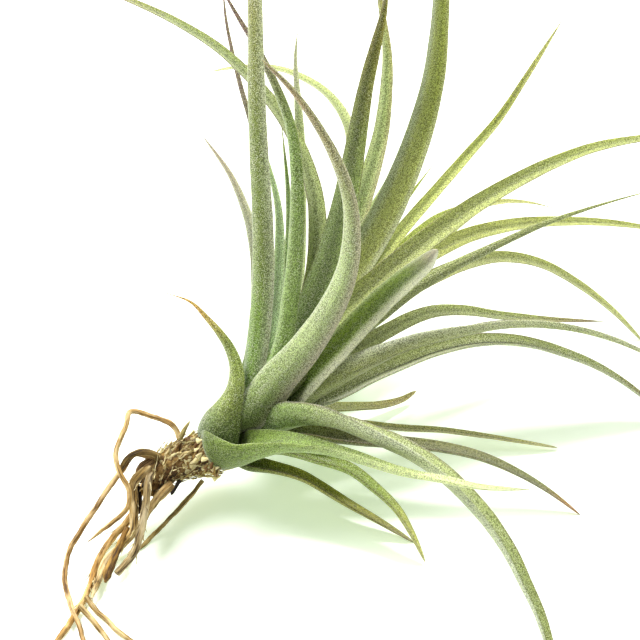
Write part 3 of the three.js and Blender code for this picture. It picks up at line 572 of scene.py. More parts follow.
# Strands that lie over the stem and the roots and stand for no node of their own
STRANDS = {
    "dark_arch": dict(
        tones=("c0a468", "78602f", "302010"), thick=(2.3, 1.0),
        line=[
            (-15.4, -2.2, 3), (-18.2, -0.8, 5), (-21, -0.6, 6), (-24.4, -2, 7.5), (-26, -4.5, 8.5),
            (-27.2, -7.3, 9),
        ],
    ),
    "stem_tail": dict(
        tones=("d8bd84", "a8884e", "5c4222"), thick=(3.0, 1.4),
        line=[(-12, -9.5, 3), (-14.8, -12, 4), (-17.6, -15.4, 5), (-19.6, -18.8, 6), (-21, -22.4, 8)],
    ),
    "papery_fill": dict(
        tones=("b08a40", "7e5c22", "3a2408"), thick=(1.6, 2.8),
        line=[(-24.4, -21.8, 5), (-26.6, -26.6, 8), (-28.8, -31.4, 12), (-30.8, -37, 16)],
    ),
    "root_knot": dict(
        tones=("c8a878", "94744a", "3c2814"), thick=(3.4, 2.6), blunt=True,
        line=[(-16.5, -2.5, 1.5), (-18.8, -3.9, 3.5), (-20.7, -5.6, 4), (-21.3, -9, 3.5)],
    ),
    # a near-black strand that stands for the painted shade in a hollow between the roots and the stem
    "dark_hollow": dict(
        tones=("5c4830", "2c1c10", "0e0a06"), thick=(1.2, 1.6),
        line=[(-21.8, -9.5, 2.5), (-21, -13.4, 3), (-21.3, -17.9, 3.5)],
    ),
    "short_spike": dict(
        tones=("dcd094", "b0a05c", "6c5c30"), thick=(1.8, 0.6),
        line=[(-9.8, 3.4, 3.5), (-8.7, 5.6, 5), (-7, 8.1, 6)],
    ),
    "black_bit": dict(
        tones=("3c3020", "1c140c", "0a0806"), thick=(1.3, 0.9),
        line=[(-9.8, -8.4, 3), (-10.9, -10.1, 3.5), (-12.3, -12.6, 4)],
    ),
}

# Where the torn collar lies over the lowest leaf's base: right, up, near
COLLAR_LINE = [(-4.8, 2.6, 9), (-3, -1.2, 11), (-1.2, -4.4, 12), (1.2, -7.0, 11)]
COLLAR_STEP = 0.3 * MM
COLLAR_FLAKES = 30
COLLAR_SPREAD = 2.5
COLLAR_DEPTH = (-0.8, 0.6)
COLLAR_TURN = 0.5
COLLAR_SWAY = (-0.9, 0.5)
COLLAR_LIFT = (-0.1, 0.25)

# Torn scales, fibres and hairs, in millimetres
FLAKES = {
    "papery_sheath": dict(length=6.5, width=2.8, thickness=0.2, curl=0.3, crumple=0.9, seed=3),
    "torn_scales": dict(length=4.2, width=1.3, thickness=0.2, curl=0.2, crumple=0.9, seed=5),
    "loose_fibres": dict(length=5.5, width=0.22, thickness=0.18, curl=0.8, crumple=1.2, seed=8),
    "torn_collar": dict(length=3.4, width=1.3, thickness=0.2, curl=0.2, crumple=0.9, seed=9),
    "root_hairs": dict(length=3.6, width=0.2, thickness=0.16, curl=0.5, crumple=1.0, seed=12),
}

# The stem's lower end bends to the left and down from the crown: right, up, near, radius.
STEM_LINE = [
    (-18.5, -12.5, 1, 1.6), (-17, -8, 1, 3.2), (-13.5, -5, 0.5, 4.3), (-8, -2.5, 0, 5.0),
    (-2.5, -0.8, 0, 5.2), (3, 3, 0, 5.0),
]

# Dry sheaths: the share of the stem's line that each covers, and its middle and half spread round the stem.
DRY_SHEATHS = {
    "dry_sheath_1": dict(start=0.2, end=0.4, middle=20, spread=62),
    "dry_sheath_2": dict(start=0.16, end=0.36, middle=150, spread=55),
    "dry_sheath_3": dict(start=0.22, end=0.42, middle=265, spread=58),
}


def paint(code):
    """A linear colour from a screen colour written as six hexadecimal digits."""
    parts = [int(code[i : i + 2], 16) / 255 for i in (0, 2, 4)]
    return tuple(c / 12.92 if c <= 0.04045 else ((c + 0.055) / 1.055) ** 2.4 for c in parts)


def place(right, up, near):
    """A point given as seen along the sight line, in the frame of the model."""
    spread = (SIGHT_DISTANCE - near) / SIGHT_DISTANCE
    across = SIGHT_CENTRE[0] + (right - SIGHT_CENTRE[0]) * spread
    high = SIGHT_CENTRE[1] + (up - SIGHT_CENTRE[1]) * spread
    sin = math.sin(SIGHT_TILT)
    cos = math.cos(SIGHT_TILT)
    return (Vector((across, high * sin - near * cos, high * cos + near * sin)) + CROWN) * MM


SIGHTWARD = Vector((0, -math.cos(SIGHT_TILT), math.sin(SIGHT_TILT)))
PICTURE_UP = Vector((0, math.sin(SIGHT_TILT), math.cos(SIGHT_TILT)))
AXIS_START = place(0, 0, 0)
AXIS = (place(*AXIS_RISE, 0) - AXIS_START).normalized()


# Smooth lines

Station = namedtuple("Station", "place tangent along reach")


def smooth_line(points, step):
    """Even stations on one smooth line through points, at most a step apart."""
    ends = [2 * points[0] - points[1], *points, 2 * points[-1] - points[-2]]
    dense = []
    for before, start, end, after in zip(ends, ends[1:], ends[2:], ends[3:]):
        spans = ((before, start), (start, end), (end, after))
        gap_in, gap, gap_out = (math.sqrt((b - a).length) for a, b in spans)
        leave = ((start - before) / gap_in - (end - before) / (gap_in + gap)) * gap + end - start
        arrive = ((after - end) / gap_out - (after - start) / (gap + gap_out)) * gap + end - start
        for i in range(FINE):
            s = i / FINE
            square = (3 * (end - start) - 2 * leave - arrive) * s**2
            cube = (2 * (start - end) + leave + arrive) * s**3
            dense.append(start + leave * s + square + cube)
    dense.append(points[-1].copy())
    reaches = [0.0]
    for a, b in zip(dense, dense[1:]):
        reaches.append(reaches[-1] + (b - a).length)
    count = max(LEAST_STEPS, math.ceil(reaches[-1] / step))
    spots = []
    j = 0
    for k in range(count + 1):
        reach = reaches[-1] * k / count
        while j < len(dense) - 2 and reaches[j + 1] < reach:
            j += 1
        share = (reach - reaches[j]) / (reaches[j + 1] - reaches[j])
        spots.append(dense[j].lerp(dense[j + 1], share))
    stations = []
    for k, spot in enumerate(spots):
        tangent = (spots[min(k + 1, count)] - spots[max(k - 1, 0)]).normalized()
        stations.append(Station(spot, tangent, k / count, reaches[-1] * k / count))
    return stations


def square_to(tangent, wish):
    """The part of a wished direction that is square to a line."""
    return (wish - tangent * wish.dot(tangent)).normalized()


def steady_facings(stations):
    """Directions square to a line that turn round it as little as they can."""
    facings = []
    last = UPWARD
    for station in stations:
        last = square_to(station.tangent, last)
        facings.append(last)
    return facings


def rail(name, stations, facings, radii=None):
    """A chain of edges along stations that carries what a sweep needs to know at each."""
    mesh = bpy.data.meshes.new(name)
    edges = [(k, k + 1) for k in range(len(stations) - 1)]
    mesh.from_pydata([station.place for station in stations], edges, [])
    sides = [facing.cross(station.tangent) for station, facing in zip(stations, facings)]
    for key, arrows in (("route", [s.place for s in stations]), ("facing", facings), ("sideways", sides)):
        layer = mesh.attributes.new(key, "FLOAT_VECTOR", "POINT")
        layer.data.foreach_set("vector", [c for arrow in arrows for c in arrow])
    numbers = [("along", [s.along for s in stations]), ("reach", [s.reach for s in stations])]
    if radii:
        numbers.append(("girth", radii))
    for key, values in numbers:
        mesh.attributes.new(key, "FLOAT", "POINT").data.foreach_set("value", values)
    return mesh


# Node trees

ARROWS = ("VECTOR", "RGBA")
MIX_SHARE, MIX_FIRST, MIX_SECOND, MIX_RESULT = 0, 6, 7, 2  # the colour sockets of a Mix node


class Sum:
    """A number, vector or colour that a node works out, so that formulas read as plain sums."""

    def __init__(self, socket):
        self.socket = socket

    def __add__(self, other):
        return work("ADD", self, other)

    def __sub__(self, other):
        return work("SUBTRACT", self, other)

    def __rsub__(self, other):
        return work("SUBTRACT", other, self)

    def __mul__(self, other):
        if isinstance(other, Sum) and other.socket.type in ARROWS:
            return other * self
        if self.socket.type not in ARROWS:
            return work("MULTIPLY", self, other)
        node = self.socket.id_data.nodes.new("ShaderNodeVectorMath")
        node.operation = "SCALE"
        feed(node.inputs[0], self)
        feed(node.inputs["Scale"], other)
        return Sum(node.outputs[0])

    def __truediv__(self, other):
        return work("DIVIDE", self, other)

    def __pow__(self, other):
        return work("POWER", self, other)

    __radd__ = __add__
    __rmul__ = __mul__


def feed(slot, value):
    """Sets a node's input, or links it where another node works the value out."""
    if isinstance(value, Sum):
        slot.id_data.links.new(value.socket, slot)
    elif slot.type == "RGBA" and len(value) == 3:
        slot.default_value = (*value, 1)
    else:
        slot.default_value = value


def work(operation, *parts):
    """A sum of parts, at least one of which is worked out by a node."""
    known = [part.socket for part in parts if isinstance(part, Sum)]
    arrows = any(socket.type in ARROWS for socket in known)
    node = known[0].id_data.nodes.new("ShaderNodeVectorMath" if arrows else "ShaderNodeMath")
    node.operation = operation
    for slot, part in zip(node.inputs, parts):
        feed(slot, part)
    return Sum(node.outputs[0])


def add(tree, kind, inputs=None, **settings):
    """Adds a node with its settings, and feeds its inputs by name."""
    node = tree.nodes.new(kind)
    for key, value in settings.items():
        setattr(node, key, value)
    for key, value in (inputs or {}).items():
        feed(node.inputs[key], value)
    return node


def blend(share, first, second):
    """A colour between two."""
    node = add(share.socket.id_data, "ShaderNodeMix", data_type="RGBA", clamp_factor=True)
    for index, value in ((MIX_SHARE, share), (MIX_FIRST, first), (MIX_SECOND, second)):
        feed(node.inputs[index], value)
    return Sum(node.outputs[MIX_RESULT])


def between(first, second, share):
    """A number between two."""
    return share * (second - first) + first


def smooth(value, low, high):
    """Rises smoothly from 0 to 1 as a value goes from low to high."""
    inputs = {"Value": value, "From Min": low, "From Max": high}
    node = add(value.socket.id_data, "ShaderNodeMapRange", inputs, interpolation_type="SMOOTHSTEP")
    return Sum(node.outputs[0])


def arrow(tree, x, y, z):
    """A vector from its parts."""
    return Sum(add(tree, "ShaderNodeCombineXYZ", {"X": x, "Y": y, "Z": z}).outputs[0])


def parts_of(vector):
    """The three parts of a vector."""
    node = add(vector.socket.id_data, "ShaderNodeSeparateXYZ", {"Vector": vector})
    return [Sum(output) for output in node.outputs]


def noise(vector, scale, detail=2.0, roughness=0.5):
    """Cloudy noise from 0 to 1."""
    inputs = {"Vector": vector, "Scale": scale, "Detail": detail, "Roughness": roughness}
    return Sum(add(vector.socket.id_data, "ShaderNodeTexNoise", inputs).outputs[0])


def new_tree(name, kind, inputs, outputs):
    """A tree with named sockets, and its inputs as sums and its outlet."""
    tree = bpy.data.node_groups.new(name, kind)
    for side, sockets in (("INPUT", inputs), ("OUTPUT", outputs)):
        for label, socket_kind in sockets:
            tree.interface.new_socket(name=label, in_out=side, socket_type="NodeSocket" + socket_kind)
    inlet = tree.nodes.new("NodeGroupInput")
    given = {output.name: Sum(output) for output in inlet.outputs if output.name}
    return tree, given, tree.nodes.new("NodeGroupOutput")


def shaping_tree(name, inputs):
    """A geometry tree with these number inputs, which takes a rail or points and a material."""
    sockets = [("Geometry", "Geometry"), *inputs, ("Material", "Material")]
    tree, given, outlet = new_tree(name, "GeometryNodeTree", sockets, [("Geometry", "Geometry")])
    tree.is_modifier = True
    return tree, given, outlet


def named(tree, key, kind="FLOAT"):
    """An attribute that the rail or the points carry."""
    return Sum(add(tree, "GeometryNodeInputNamedAttribute", {"Name": key}, data_type=kind).outputs[0])


def swept(tree, geometry, sides):
    """A closed tube with this many sides along each rail, and how far round each of its points is."""
    circle = add(tree, "GeometryNodeCurvePrimitiveCircle", {"Resolution": sides, "Radius": MM})
    turn = Sum(add(tree, "GeometryNodeSplineParameter").outputs["Factor"]) * math.tau
    ring = add(
        tree,
        "GeometryNodeStoreNamedAttribute",
        {"Geometry": Sum(circle.outputs["Curve"]), "Name": "turn", "Value": turn},
        data_type="FLOAT",
        domain="POINT",
    )
    line = add(tree, "GeometryNodeMeshToCurve", {"Mesh": geometry})
    inputs = {"Curve": Sum(line.outputs[0]), "Profile Curve": Sum(ring.outputs[0]), "Fill Caps": True}
    tube = add(tree, "GeometryNodeCurveToMesh", inputs)
    tube = add(tree, "GeometryNodeFlipFaces", {"Mesh": Sum(tube.outputs[0])})
    return Sum(tube.outputs[0]), named(tree, "turn")


def above_floor(vector):
    """The same place, or the floor above it where it would sink in."""
    x, y, z = parts_of(vector)
    return arrow(vector.socket.id_data, x, y, work("MAXIMUM", z, 0.0))


def moved(geometry, vector):
    """The geometry with its points moved to places, but never below the floor."""
    inputs = {"Geometry": geometry, "Position": above_floor(vector)}
    return Sum(add(geometry.socket.id_data, "GeometryNodeSetPosition", inputs).outputs[0])


def marked(geometry, key, vector, domain="POINT"):
    """The geometry with a vector kept on its points, for its material or a later step to read."""
    inputs = {"Geometry": geometry, "Name": key, "Value": vector}
    settings = {"data_type": "FLOAT_VECTOR", "domain": domain}
    return Sum(add(geometry.socket.id_data, "GeometryNodeStoreNamedAttribute", inputs, **settings).outputs[0])


def finished(tree, geometry, material, outlet):
    """Ends a tree: smooth faces, real meshes and a material."""
    smoothed = add(tree, "GeometryNodeSetShadeSmooth", {"Geometry": geometry})
    real = add(tree, "GeometryNodeRealizeInstances", {"Geometry": Sum(smoothed.outputs[0])})
    covered = add(tree, "GeometryNodeSetMaterial", {"Geometry": Sum(real.outputs[0]), "Material": material})
    feed(outlet.inputs["Geometry"], Sum(covered.outputs[0]))


def grow(name, start, tree, values):
    """Runs a tree on a rail or on points, and keeps what it makes as a plain piece."""
    piece = bpy.data.objects.new(name, start)
    bpy.context.scene.collection.objects.link(piece)
    maker = piece.modifiers.new("Shape", "NODES")
    maker.node_group = tree
    sockets = {item.name: item.identifier for item in tree.interface.items_tree if item.in_out == "INPUT"}
    for key, value in values.items():
        maker[sockets[key]] = value
    depsgraph = bpy.context.evaluated_depsgraph_get()
    shaped = piece.evaluated_get(depsgraph)
    made = bpy.data.meshes.new_from_object(shaped, preserve_all_data_layers=True, depsgraph=depsgraph)
    piece.modifiers.remove(maker)
    piece.data = made
    bpy.data.meshes.remove(start)
    made.name = name
    return piece


def seat(piece, node=None):
    """Makes a piece ride on the plant's one body, in place of its node where it has one."""
    if node:
        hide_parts(node)
    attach(piece, "root")


# Shapes

LEAF_INPUTS = [
    ("Width", "Float"),
    ("Sheath Width", "Float"),
    ("Sheath Share", "Float"),
    ("Gathered", "Float"),
    ("Gather Length", "Float"),
    ("Slant", "Float"),
    ("Taper", "Float"),
    ("Tail", "Float"),
    ("Keel", "Float"),
    ("Sheath Fold", "Float"),
    ("Blade Fold", "Float"),
    ("Thickness", "Float"),
    ("Tip Thickness", "Float"),
    ("Tip Width", "Float"),
    ("Unevenness", "Float"),
    ("Sides", "Int"),
    ("Seed", "Float"),
]


def leaf_shape():
    """A leaf along its rail: a clasping base that opens into a channelled blade with rounded margins."""
    tree, given, outlet = shaping_tree("Leaf", LEAF_INPUTS)
    along = named(tree, "along")
    reach = named(tree, "reach")
    tube, turn = swept(tree, given["Geometry"], given["Sides"])
    across = work("COSINE", turn)
    outward = work("SINE", turn)
    opened = smooth(along, 0.0, given["Sheath Share"])
    blade_start = given["Sheath Share"] * 0.5
    gone = work("MAXIMUM", (along - blade_start) / (1 - blade_start), 0.0)
    left = work("MAXIMUM", 1 - gone, 0.0)
    blade = given["Width"] * between(left ** given["Taper"], left**TAIL_TAPER, given["Tail"])
    sway = noise(arrow(tree, reach * SWAY_RATE, given["Seed"], 0.0), 1.0) - 0.5
    width = between(given["Sheath Width"], blade, opened) * (sway * given["Unevenness"] + 1)
    width = width * between(given["Gathered"], 1.0, smooth(reach, 0.0, given["Gather Length"]))
    width = work("MAXIMUM", width, given["Tip Width"])
    fold = between(between(given["Sheath Fold"], given["Blade Fold"], opened), TIP_FOLD, along**4)
    thickness = between(given["Thickness"], given["Tip Thickness"], along)
    thickness = work("MINIMUM", thickness, width * THICKEST)
    radius = width * 0.5 / work("SINE", fold)
    lift = radius * 0.5 * (work("COSINE", fold) + 1)
    curl = noise(arrow(tree, reach * CURL_RATE, across * CURL_SPAN, given["Seed"]), 1.0, 2.0) - 0.5
    shell = radius + thickness * 0.5 * (outward - 1) + curl * (thickness * 0.5)
    angle = across * fold
    straight = 1 - work("ABSOLUTE", work("SINE", angle)) * (1 - work("COSINE", fold)) / work("SINE", fold)
    level = lift - shell * between(work("COSINE", angle), straight, given["Keel"] * opened)
    sideways = named(tree, "sideways", "FLOAT_VECTOR")
    facing = named(tree, "facing", "FLOAT_VECTOR")
    spot = named(tree, "route", "FLOAT_VECTOR") + sideways * (shell * work("SINE", angle)) + facing * level
    held_back = 1 - smooth(reach, 0.0, given["Slant"] * 3 + MM)
    onward = work("CROSS_PRODUCT", sideways, facing)
    spot = spot + onward * (given["Slant"] * held_back * (1 - across * across))
    leaf = moved(tube, spot)
    leaf = marked(leaf, "skin", arrow(tree, radius * angle, reach, outward))
    leaf = marked(leaf, "spot", arrow(tree, across, along, given["Seed"]))
    finished(tree, leaf, given["Material"], outlet)
    return tree


STRAND_INPUTS = [
    ("Sides", "Int"),
    ("Wobble", "Float"),
    ("Wrinkle", "Float"),
    ("Ring Height", "Float"),
    ("Seed", "Float"),
]


def strand_shape():
    """A round strand along its rail, which wanders a little, with wrinkles and ringed scars."""
    tree, given, outlet = shaping_tree("Strand", STRAND_INPUTS)
    reach = named(tree, "reach")
    radius = named(tree, "girth")
    tube, turn = swept(tree, given["Geometry"], given["Sides"])
    across = work("COSINE", turn)
    outward = work("SINE", turn)
    long_noise = arrow(tree, reach * 180, given["Seed"], 0.0)
    wander = (noise(long_noise, 1.0) - 0.5) * given["Wobble"]
    drift = (noise(long_noise + (5.0, 3.0, 9.0), 1.0) - 0.5) * given["Wobble"]
    knots = noise(arrow(tree, across * 0.7, reach * 420, outward * 0.7 + given["Seed"]), 1.0, 3.0) - 0.5
    ridges = noise(arrow(tree, across * 3.5, reach * 150, outward * 3.5 + given["Seed"]), 1.0, 2.0) - 0.5
    rings = work("COSINE", reach * (math.tau / SCAR_PITCH) + turn) * 0.5 + 0.5
    girth = radius * ((knots + ridges) * given["Wrinkle"] + 1) + rings * given["Ring Height"]
    spot = named(tree, "route", "FLOAT_VECTOR")
    spot = spot + named(tree, "facing", "FLOAT_VECTOR") * (wander + girth * across)
    spot = spot + named(tree, "sideways", "FLOAT_VECTOR") * (drift + girth * outward)
    strand = moved(tube, spot)
    strand = marked(strand, "skin", arrow(tree, across * radius, reach, outward * radius))
    # The ridges are handed to the skin, which paints light on them and shade between them.
    strand = marked(strand, "spot", arrow(tree, ridges, named(tree, "along"), given["Seed"]))
    finished(tree, strand, given["Material"], outlet)
    return tree


SCALE_INPUTS = [
    ("Length", "Float"),
    ("Width", "Float"),
    ("Thickness", "Float"),
    ("Curl", "Float"),
    ("Crumple", "Float"),
    ("Seed", "Int"),
]


def scale_shape():
    """A thin torn scale on each point, wrapped round what it grows on and crumpled."""
    tree, given, outlet = shaping_tree("Scales", SCALE_INPUTS)
    grid = {"Size": (1.0, 1.0, 1.0), "Vertices X": 5, "Vertices Y": 8, "Vertices Z": 2}
    sheet = add(tree, "GeometryNodeMeshCube", grid)
    x, y, z = parts_of(Sum(add(tree, "GeometryNodeInputPosition").outputs[0]))
    along = y + 0.5
    wide = x * given["Width"]
    long = along * given["Length"]
    power, most = FLAKE_TAPER
    narrowing = 1 - along**power * most
    bend = x * x * given["Width"] * FLAKE_WRAP + along * along * given["Curl"]
    shaped = arrow(tree, wide * narrowing, long, z * given["Thickness"] + bend)
    sheet = marked(Sum(sheet.outputs["Mesh"]), "flat", arrow(tree, wide, long, 0.0))
    scale = add(tree, "GeometryNodeSetPosition", {"Geometry": sheet, "Position": shaped})
    facing = named(tree, "facing", "FLOAT_VECTOR")
    heading = named(tree, "sideways", "FLOAT_VECTOR")
    axes = {"Primary Axis": facing, "Secondary Axis": heading}
    turned = add(tree, "FunctionNodeAxesToRotation", axes, primary_axis="Z", secondary_axis="Y")
    sizes = add(tree, "FunctionNodeRandomValue", {"Seed": given["Seed"]}, data_type="FLOAT_VECTOR")
    for slot, size in zip(sizes.inputs, FLAKE_SCALES):
        feed(slot, size)
    inputs = {
        "Points": given["Geometry"],
        "Instance": Sum(scale.outputs[0]),
        "Rotation": Sum(turned.outputs[0]),
        "Scale": Sum(sizes.outputs[0]),
    }
    spread = Sum(add(tree, "GeometryNodeInstanceOnPoints", inputs).outputs[0])
    shift = add(tree, "FunctionNodeRandomValue", {"Seed": given["Seed"]}, data_type="FLOAT_VECTOR")
    spread = marked(spread, "shift", Sum(shift.outputs[0]), "INSTANCE")
    real = Sum(add(tree, "GeometryNodeRealizeInstances", {"Geometry": spread}).outputs[0])
    spot = Sum(add(tree, "GeometryNodeInputPosition").outputs[0])
    shake = add(tree, "ShaderNodeTexNoise", {"Vector": spot, "Scale": CRUMPLE_RATE, "Detail": 2.0})
    middle = (0.5, 0.5, 0.5)
    own_shift = named(tree, "shift", "FLOAT_VECTOR")
    crumpled = moved(real, spot + (Sum(shake.outputs[1]) - middle) * given["Crumple"])
    crumpled = marked(crumpled, "skin", named(tree, "flat", "FLOAT_VECTOR") + own_shift * 0.1)
    crumpled = marked(crumpled, "spot", (own_shift - middle) * 1.3)
    finished(tree, crumpled, given["Material"], outlet)
    return tree


# Surfaces

SKIN_OUTPUTS = [("Color", "Color"), ("Roughness", "Float"), ("Height", "Float")]

LEAF_SKIN_INPUTS = [
    ("Base", "Color"),
    ("Body", "Color"),
    ("Tip", "Color"),
    ("Tip From", "Float"),
    ("Margin", "Color"),
    ("Margined", "Float"),
    ("Margin Width", "Float"),
    ("Channel Shade", "Float"),
    ("Fold Shade", "Float"),
    ("Side Shading", "Color"),
    ("Side Shading Amount", "Float"),
    ("Side Shading From", "Float"),
    ("Frost", "Color"),
    ("Frosted", "Float"),
    ("Seed", "Float"),
]

BARK_INPUTS = [
    ("Pale", "Color"),
    ("Middle", "Color"),
    ("Dark", "Color"),
    ("Fibre", "Float"),
    ("Patched", "Float"),
    ("Blotch", "Float"),
    ("Green From", "Float"),
    ("Seed", "Float"),
]


def carried(tree, key):
    """A vector that a piece's points carry for its material."""
    return Sum(add(tree, "ShaderNodeAttribute", attribute_name=key).outputs["Vector"])


def put_out(outlet, color, roughness, height):
    """Hands a skin's results to the material."""
    for key, value in (("Color", color), ("Roughness", roughness), ("Height", height)):
        feed(outlet.inputs[key], value)


def leaf_skin():
    """Green skin under fine pale scales, with colours for base, tip and margins (a pale one partly a painted
    highlight), painted light and shade on one side, and painted shade down its midline and in its channel.
    """
    tree, given, outlet = new_tree("Leaf Skin", "ShaderNodeTree", LEAF_SKIN_INPUTS, SKIN_OUTPUTS)
    across, reach, face = parts_of(carried(tree, "skin"))
    share, along, _ = parts_of(carried(tree, "spot"))
    x = across * TO_MM
    y = reach * TO_MM
    depth = given["Seed"] * 7 + face
    pores = {"Vector": arrow(tree, x, y * 0.85, depth), "Scale": 3.5, "Randomness": 0.85}
    grain = Sum(add(tree, "ShaderNodeTexVoronoi", pores).outputs["Distance"])
    fleck = noise(arrow(tree, x, y * 0.8, depth + 30), 1.1, 2.0, 0.7)
    patch = noise(arrow(tree, x, y * 0.3, depth), 0.22, 3.0, 0.6)
    vein = noise(arrow(tree, x * 1.8, y * 0.06, depth), 1.0, 2.0, 0.6)
    ground = blend(smooth(along + patch * 0.16, *BODY_FROM), given["Base"], given["Body"])
    tipped = smooth(along + patch * 0.12 - 0.06, given["Tip From"], 1.0)
    ground = blend(tipped, ground, given["Tip"])
    ground = blend((vein - 0.5) * 1.1 + 0.1, ground, blend(vein, DEEP_GREEN, VEIN_GREEN))
    side = work("ABSOLUTE", share)
    # Painted shade: the inner face of the channel is darkened towards a deep green near its middle, where
    # shade falls.
    hollow = smooth(face * -1, -0.2, 0.6) * (1 - smooth(side, *CHANNEL_SHADE_HALF)) * given["Channel Shade"]
    ground = blend(hollow, ground, CHANNEL_SHADE_GREEN)
    # Painted shade: a dark brown line down the middle of the blade stands for the shade along its fold; the
    # coat of scales and the painted side shading are held back there.
    fold_shade = (1 - smooth(side, *FOLD_SHADE_HALF)) * smooth(along, *FOLD_SHADE_FROM) * given["Fold Shade"]
    ground = blend(fold_shade, ground, FOLD_SHADE_BROWN)
    # A plum margin is the leaf's own colour; a pale margin is partly its own pale scales and partly a painted
    # highlight along the lit rim.
    rim = smooth(side + (patch - 0.5) * 0.15, 1 - given["Margin Width"], MARGIN_END) * given["Margined"]
    ground = blend(rim, ground, given["Margin"])
    # Painted light and shade: one side of the blade, chosen by the sign, takes its own colour, mostly paler
    # as painted light and on a few leaves darker as painted shade.
    side_shading_amount = smooth(share * given["Side Shading Amount"], *SIDE_SHADING_HALF)
    side_shading_amount = side_shading_amount * smooth(along, given["Side Shading From"] - SIDE_SHADING_FADE, given["Side Shading From"])
    ground = blend(side_shading_amount * (1 - fold_shade), ground, given["Side Shading"])
    ground = ground * between(SHADED_LEAST, 1.0, smooth(y, *SHADED_BASE))
    dark = smooth(grain + (fleck - 0.5) * 0.3, *DARK_GRAIN)
    ground = ground * (1 - dark * DARKENED)
    coat = 1 - smooth(grain - (fleck - 0.5) * 0.5 - (patch - 0.5) * 0.35, *COATED_GRAIN)
    coat = coat * between(BARE_LEAST, 1.0, smooth(y, *BARE_BASE)) * (1 - fold_shade)
    color = blend(coat * given["Frosted"], ground, given["Frost"])
    put_out(outlet, color, coat * 0.2 + 0.5, (1 - dark) * 0.5 + coat * 0.6 + vein * 0.3)
    return tree


def bark_skin():
    """Dry fibrous skin with its own fibres, patches and specks, painted paler on ridges and darker in grooves
    as painted light and shade, which turns green where the stem's core does.
    """
    tree, given, outlet = new_tree("Bark Skin", "ShaderNodeTree", BARK_INPUTS, SKIN_OUTPUTS)
    x, y, z = parts_of(carried(tree, "skin"))
    ridge, along, _ = parts_of(carried(tree, "spot"))
    x = x * TO_MM
    z = z * TO_MM + given["Seed"] * 5
    fibre = noise(arrow(tree, x, y * TO_MM * given["Fibre"], z), 3.2, 3.0, 0.65)
    blotch = noise(arrow(tree, x, y * (TO_MM * 0.3), z), 0.45, 3.0, 0.6)
    speck = noise(arrow(tree, x, y * TO_MM, z), 4.5, 2.0, 0.6)
    # On strands the first part of the spot attribute is the height of their ridges, so ridges are painted
    # paler and grooves darker as painted light and shade; on scales it is each scale's own random tone.
    ground = blend(smooth(fibre + ridge * 0.5, 0.36, 0.58), given["Dark"], given["Middle"])
    raised = smooth(blotch + ridge * 0.5, 0.4, 0.68) * given["Patched"]
    ground = blend(raised, ground, given["Pale"])
    ground = blend(smooth(speck, 0.58, 0.72) * given["Blotch"], ground, given["Dark"])
    greened = smooth(along - given["Green From"], 0.0, GREEN_FADE)
    color = blend(greened, ground, blend(fibre, DEEP_GREEN, STEM_GREEN))
    put_out(outlet, color, fibre * 0.3 + 0.55, fibre + blotch * 0.5)
    return tree


def covering(name, skin, values, relief, sheen, glow=0.0):
    """A material whose colour, roughness and relief come from a skin."""
    material = bpy.data.materials.new(name)
    material.use_nodes = True
    tree = material.node_tree
    surface = tree.nodes["Principled BSDF"]
    group = add(tree, "ShaderNodeGroup", node_tree=skin)
    for key, value in values.items():
        feed(group.inputs[key], value)
    bump = add(tree, "ShaderNodeBump", {"Distance": relief, "Height": Sum(group.outputs["Height"])})
    feed(surface.inputs["Base Color"], Sum(group.outputs["Color"]))
    feed(surface.inputs["Roughness"], Sum(group.outputs["Roughness"]))
    feed(surface.inputs["Normal"], Sum(bump.outputs["Normal"]))
    surface.inputs["Specular IOR Level"].default_value = SPECULAR
    surface.inputs["Sheen Weight"].default_value = sheen
    surface.inputs["Sheen Roughness"].default_value = SHEEN_ROUGHNESS
    surface.inputs["Subsurface Weight"].default_value = glow
    surface.inputs["Subsurface Radius"].default_value = GLOW_TINT
    surface.inputs["Subsurface Scale"].default_value = GLOW_DEPTH
    return material


# Settings

class LeafSettings(bpy.types.PropertyGroup):
    thickness: FloatProperty(
        name="Thickness", description="A blade's thickness at its base", default=1.2 * MM, unit="LENGTH"
    )
    tip_thickness: FloatProperty(
        name="Tip Thickness", description="A blade's thickness at its tip", default=0.45 * MM, unit="LENGTH"
    )
    tip_width: FloatProperty(
        name="Tip Width", description="A blade's least width", default=0.4 * MM, unit="LENGTH"
    )
    ring_step: FloatProperty(
        name="Ring Step", description="Distance between a blade's sections", default=1.2 * MM, unit="LENGTH"
    )
    sides: IntProperty(name="Sides", description="Points round a blade's section", default=28)
    unevenness: FloatProperty(name="Unevenness", description="How much a blade's width varies", default=0.1)
    depth: FloatProperty(
        name="Depth", description="How bright the skin is against how it looks", default=1.52
    )
    vivid: FloatProperty(
        name="Vivid", description="How much stronger the skin's colour is than it looks", default=1.3
    )
    frost: FloatVectorProperty(
        name="Frost", description="Colour of the fine scales", subtype="COLOR", default=paint("f6f8dc")
    )
    # a pale margin is partly the leaves' own pale scales and partly a painted highlight on their rims
    pale_margin_and_highlight: FloatVectorProperty(
        name="Pale Margin And Highlight", description="Colour of a light margin", subtype="COLOR", default=paint("dde2c4")
    )
    plum_edge: FloatVectorProperty(
        name="Plum Margin", description="Colour of a dark margin", subtype="COLOR", default=paint("75605a")
    )


class StemSettings(bpy.types.PropertyGroup):
    pale: FloatVectorProperty(
        name="Pale Bark", description="Colour of the stem's ridges", subtype="COLOR", default=paint("e8da9c")
    )
    middle: FloatVectorProperty(
        name="Bark", description="Colour of most of the stem", subtype="COLOR", default=paint("b4944e")
    )
    dark: FloatVectorProperty(
        name="Dark Bark", description="Colour of the stem's hollows", subtype="COLOR", default=paint("6a4a24")
    )
    scales: IntProperty(name="Scales", description="Torn scales on the stem", default=250)
    fibres: IntProperty(name="Fibres", description="Loose fibres on the stem", default=170)


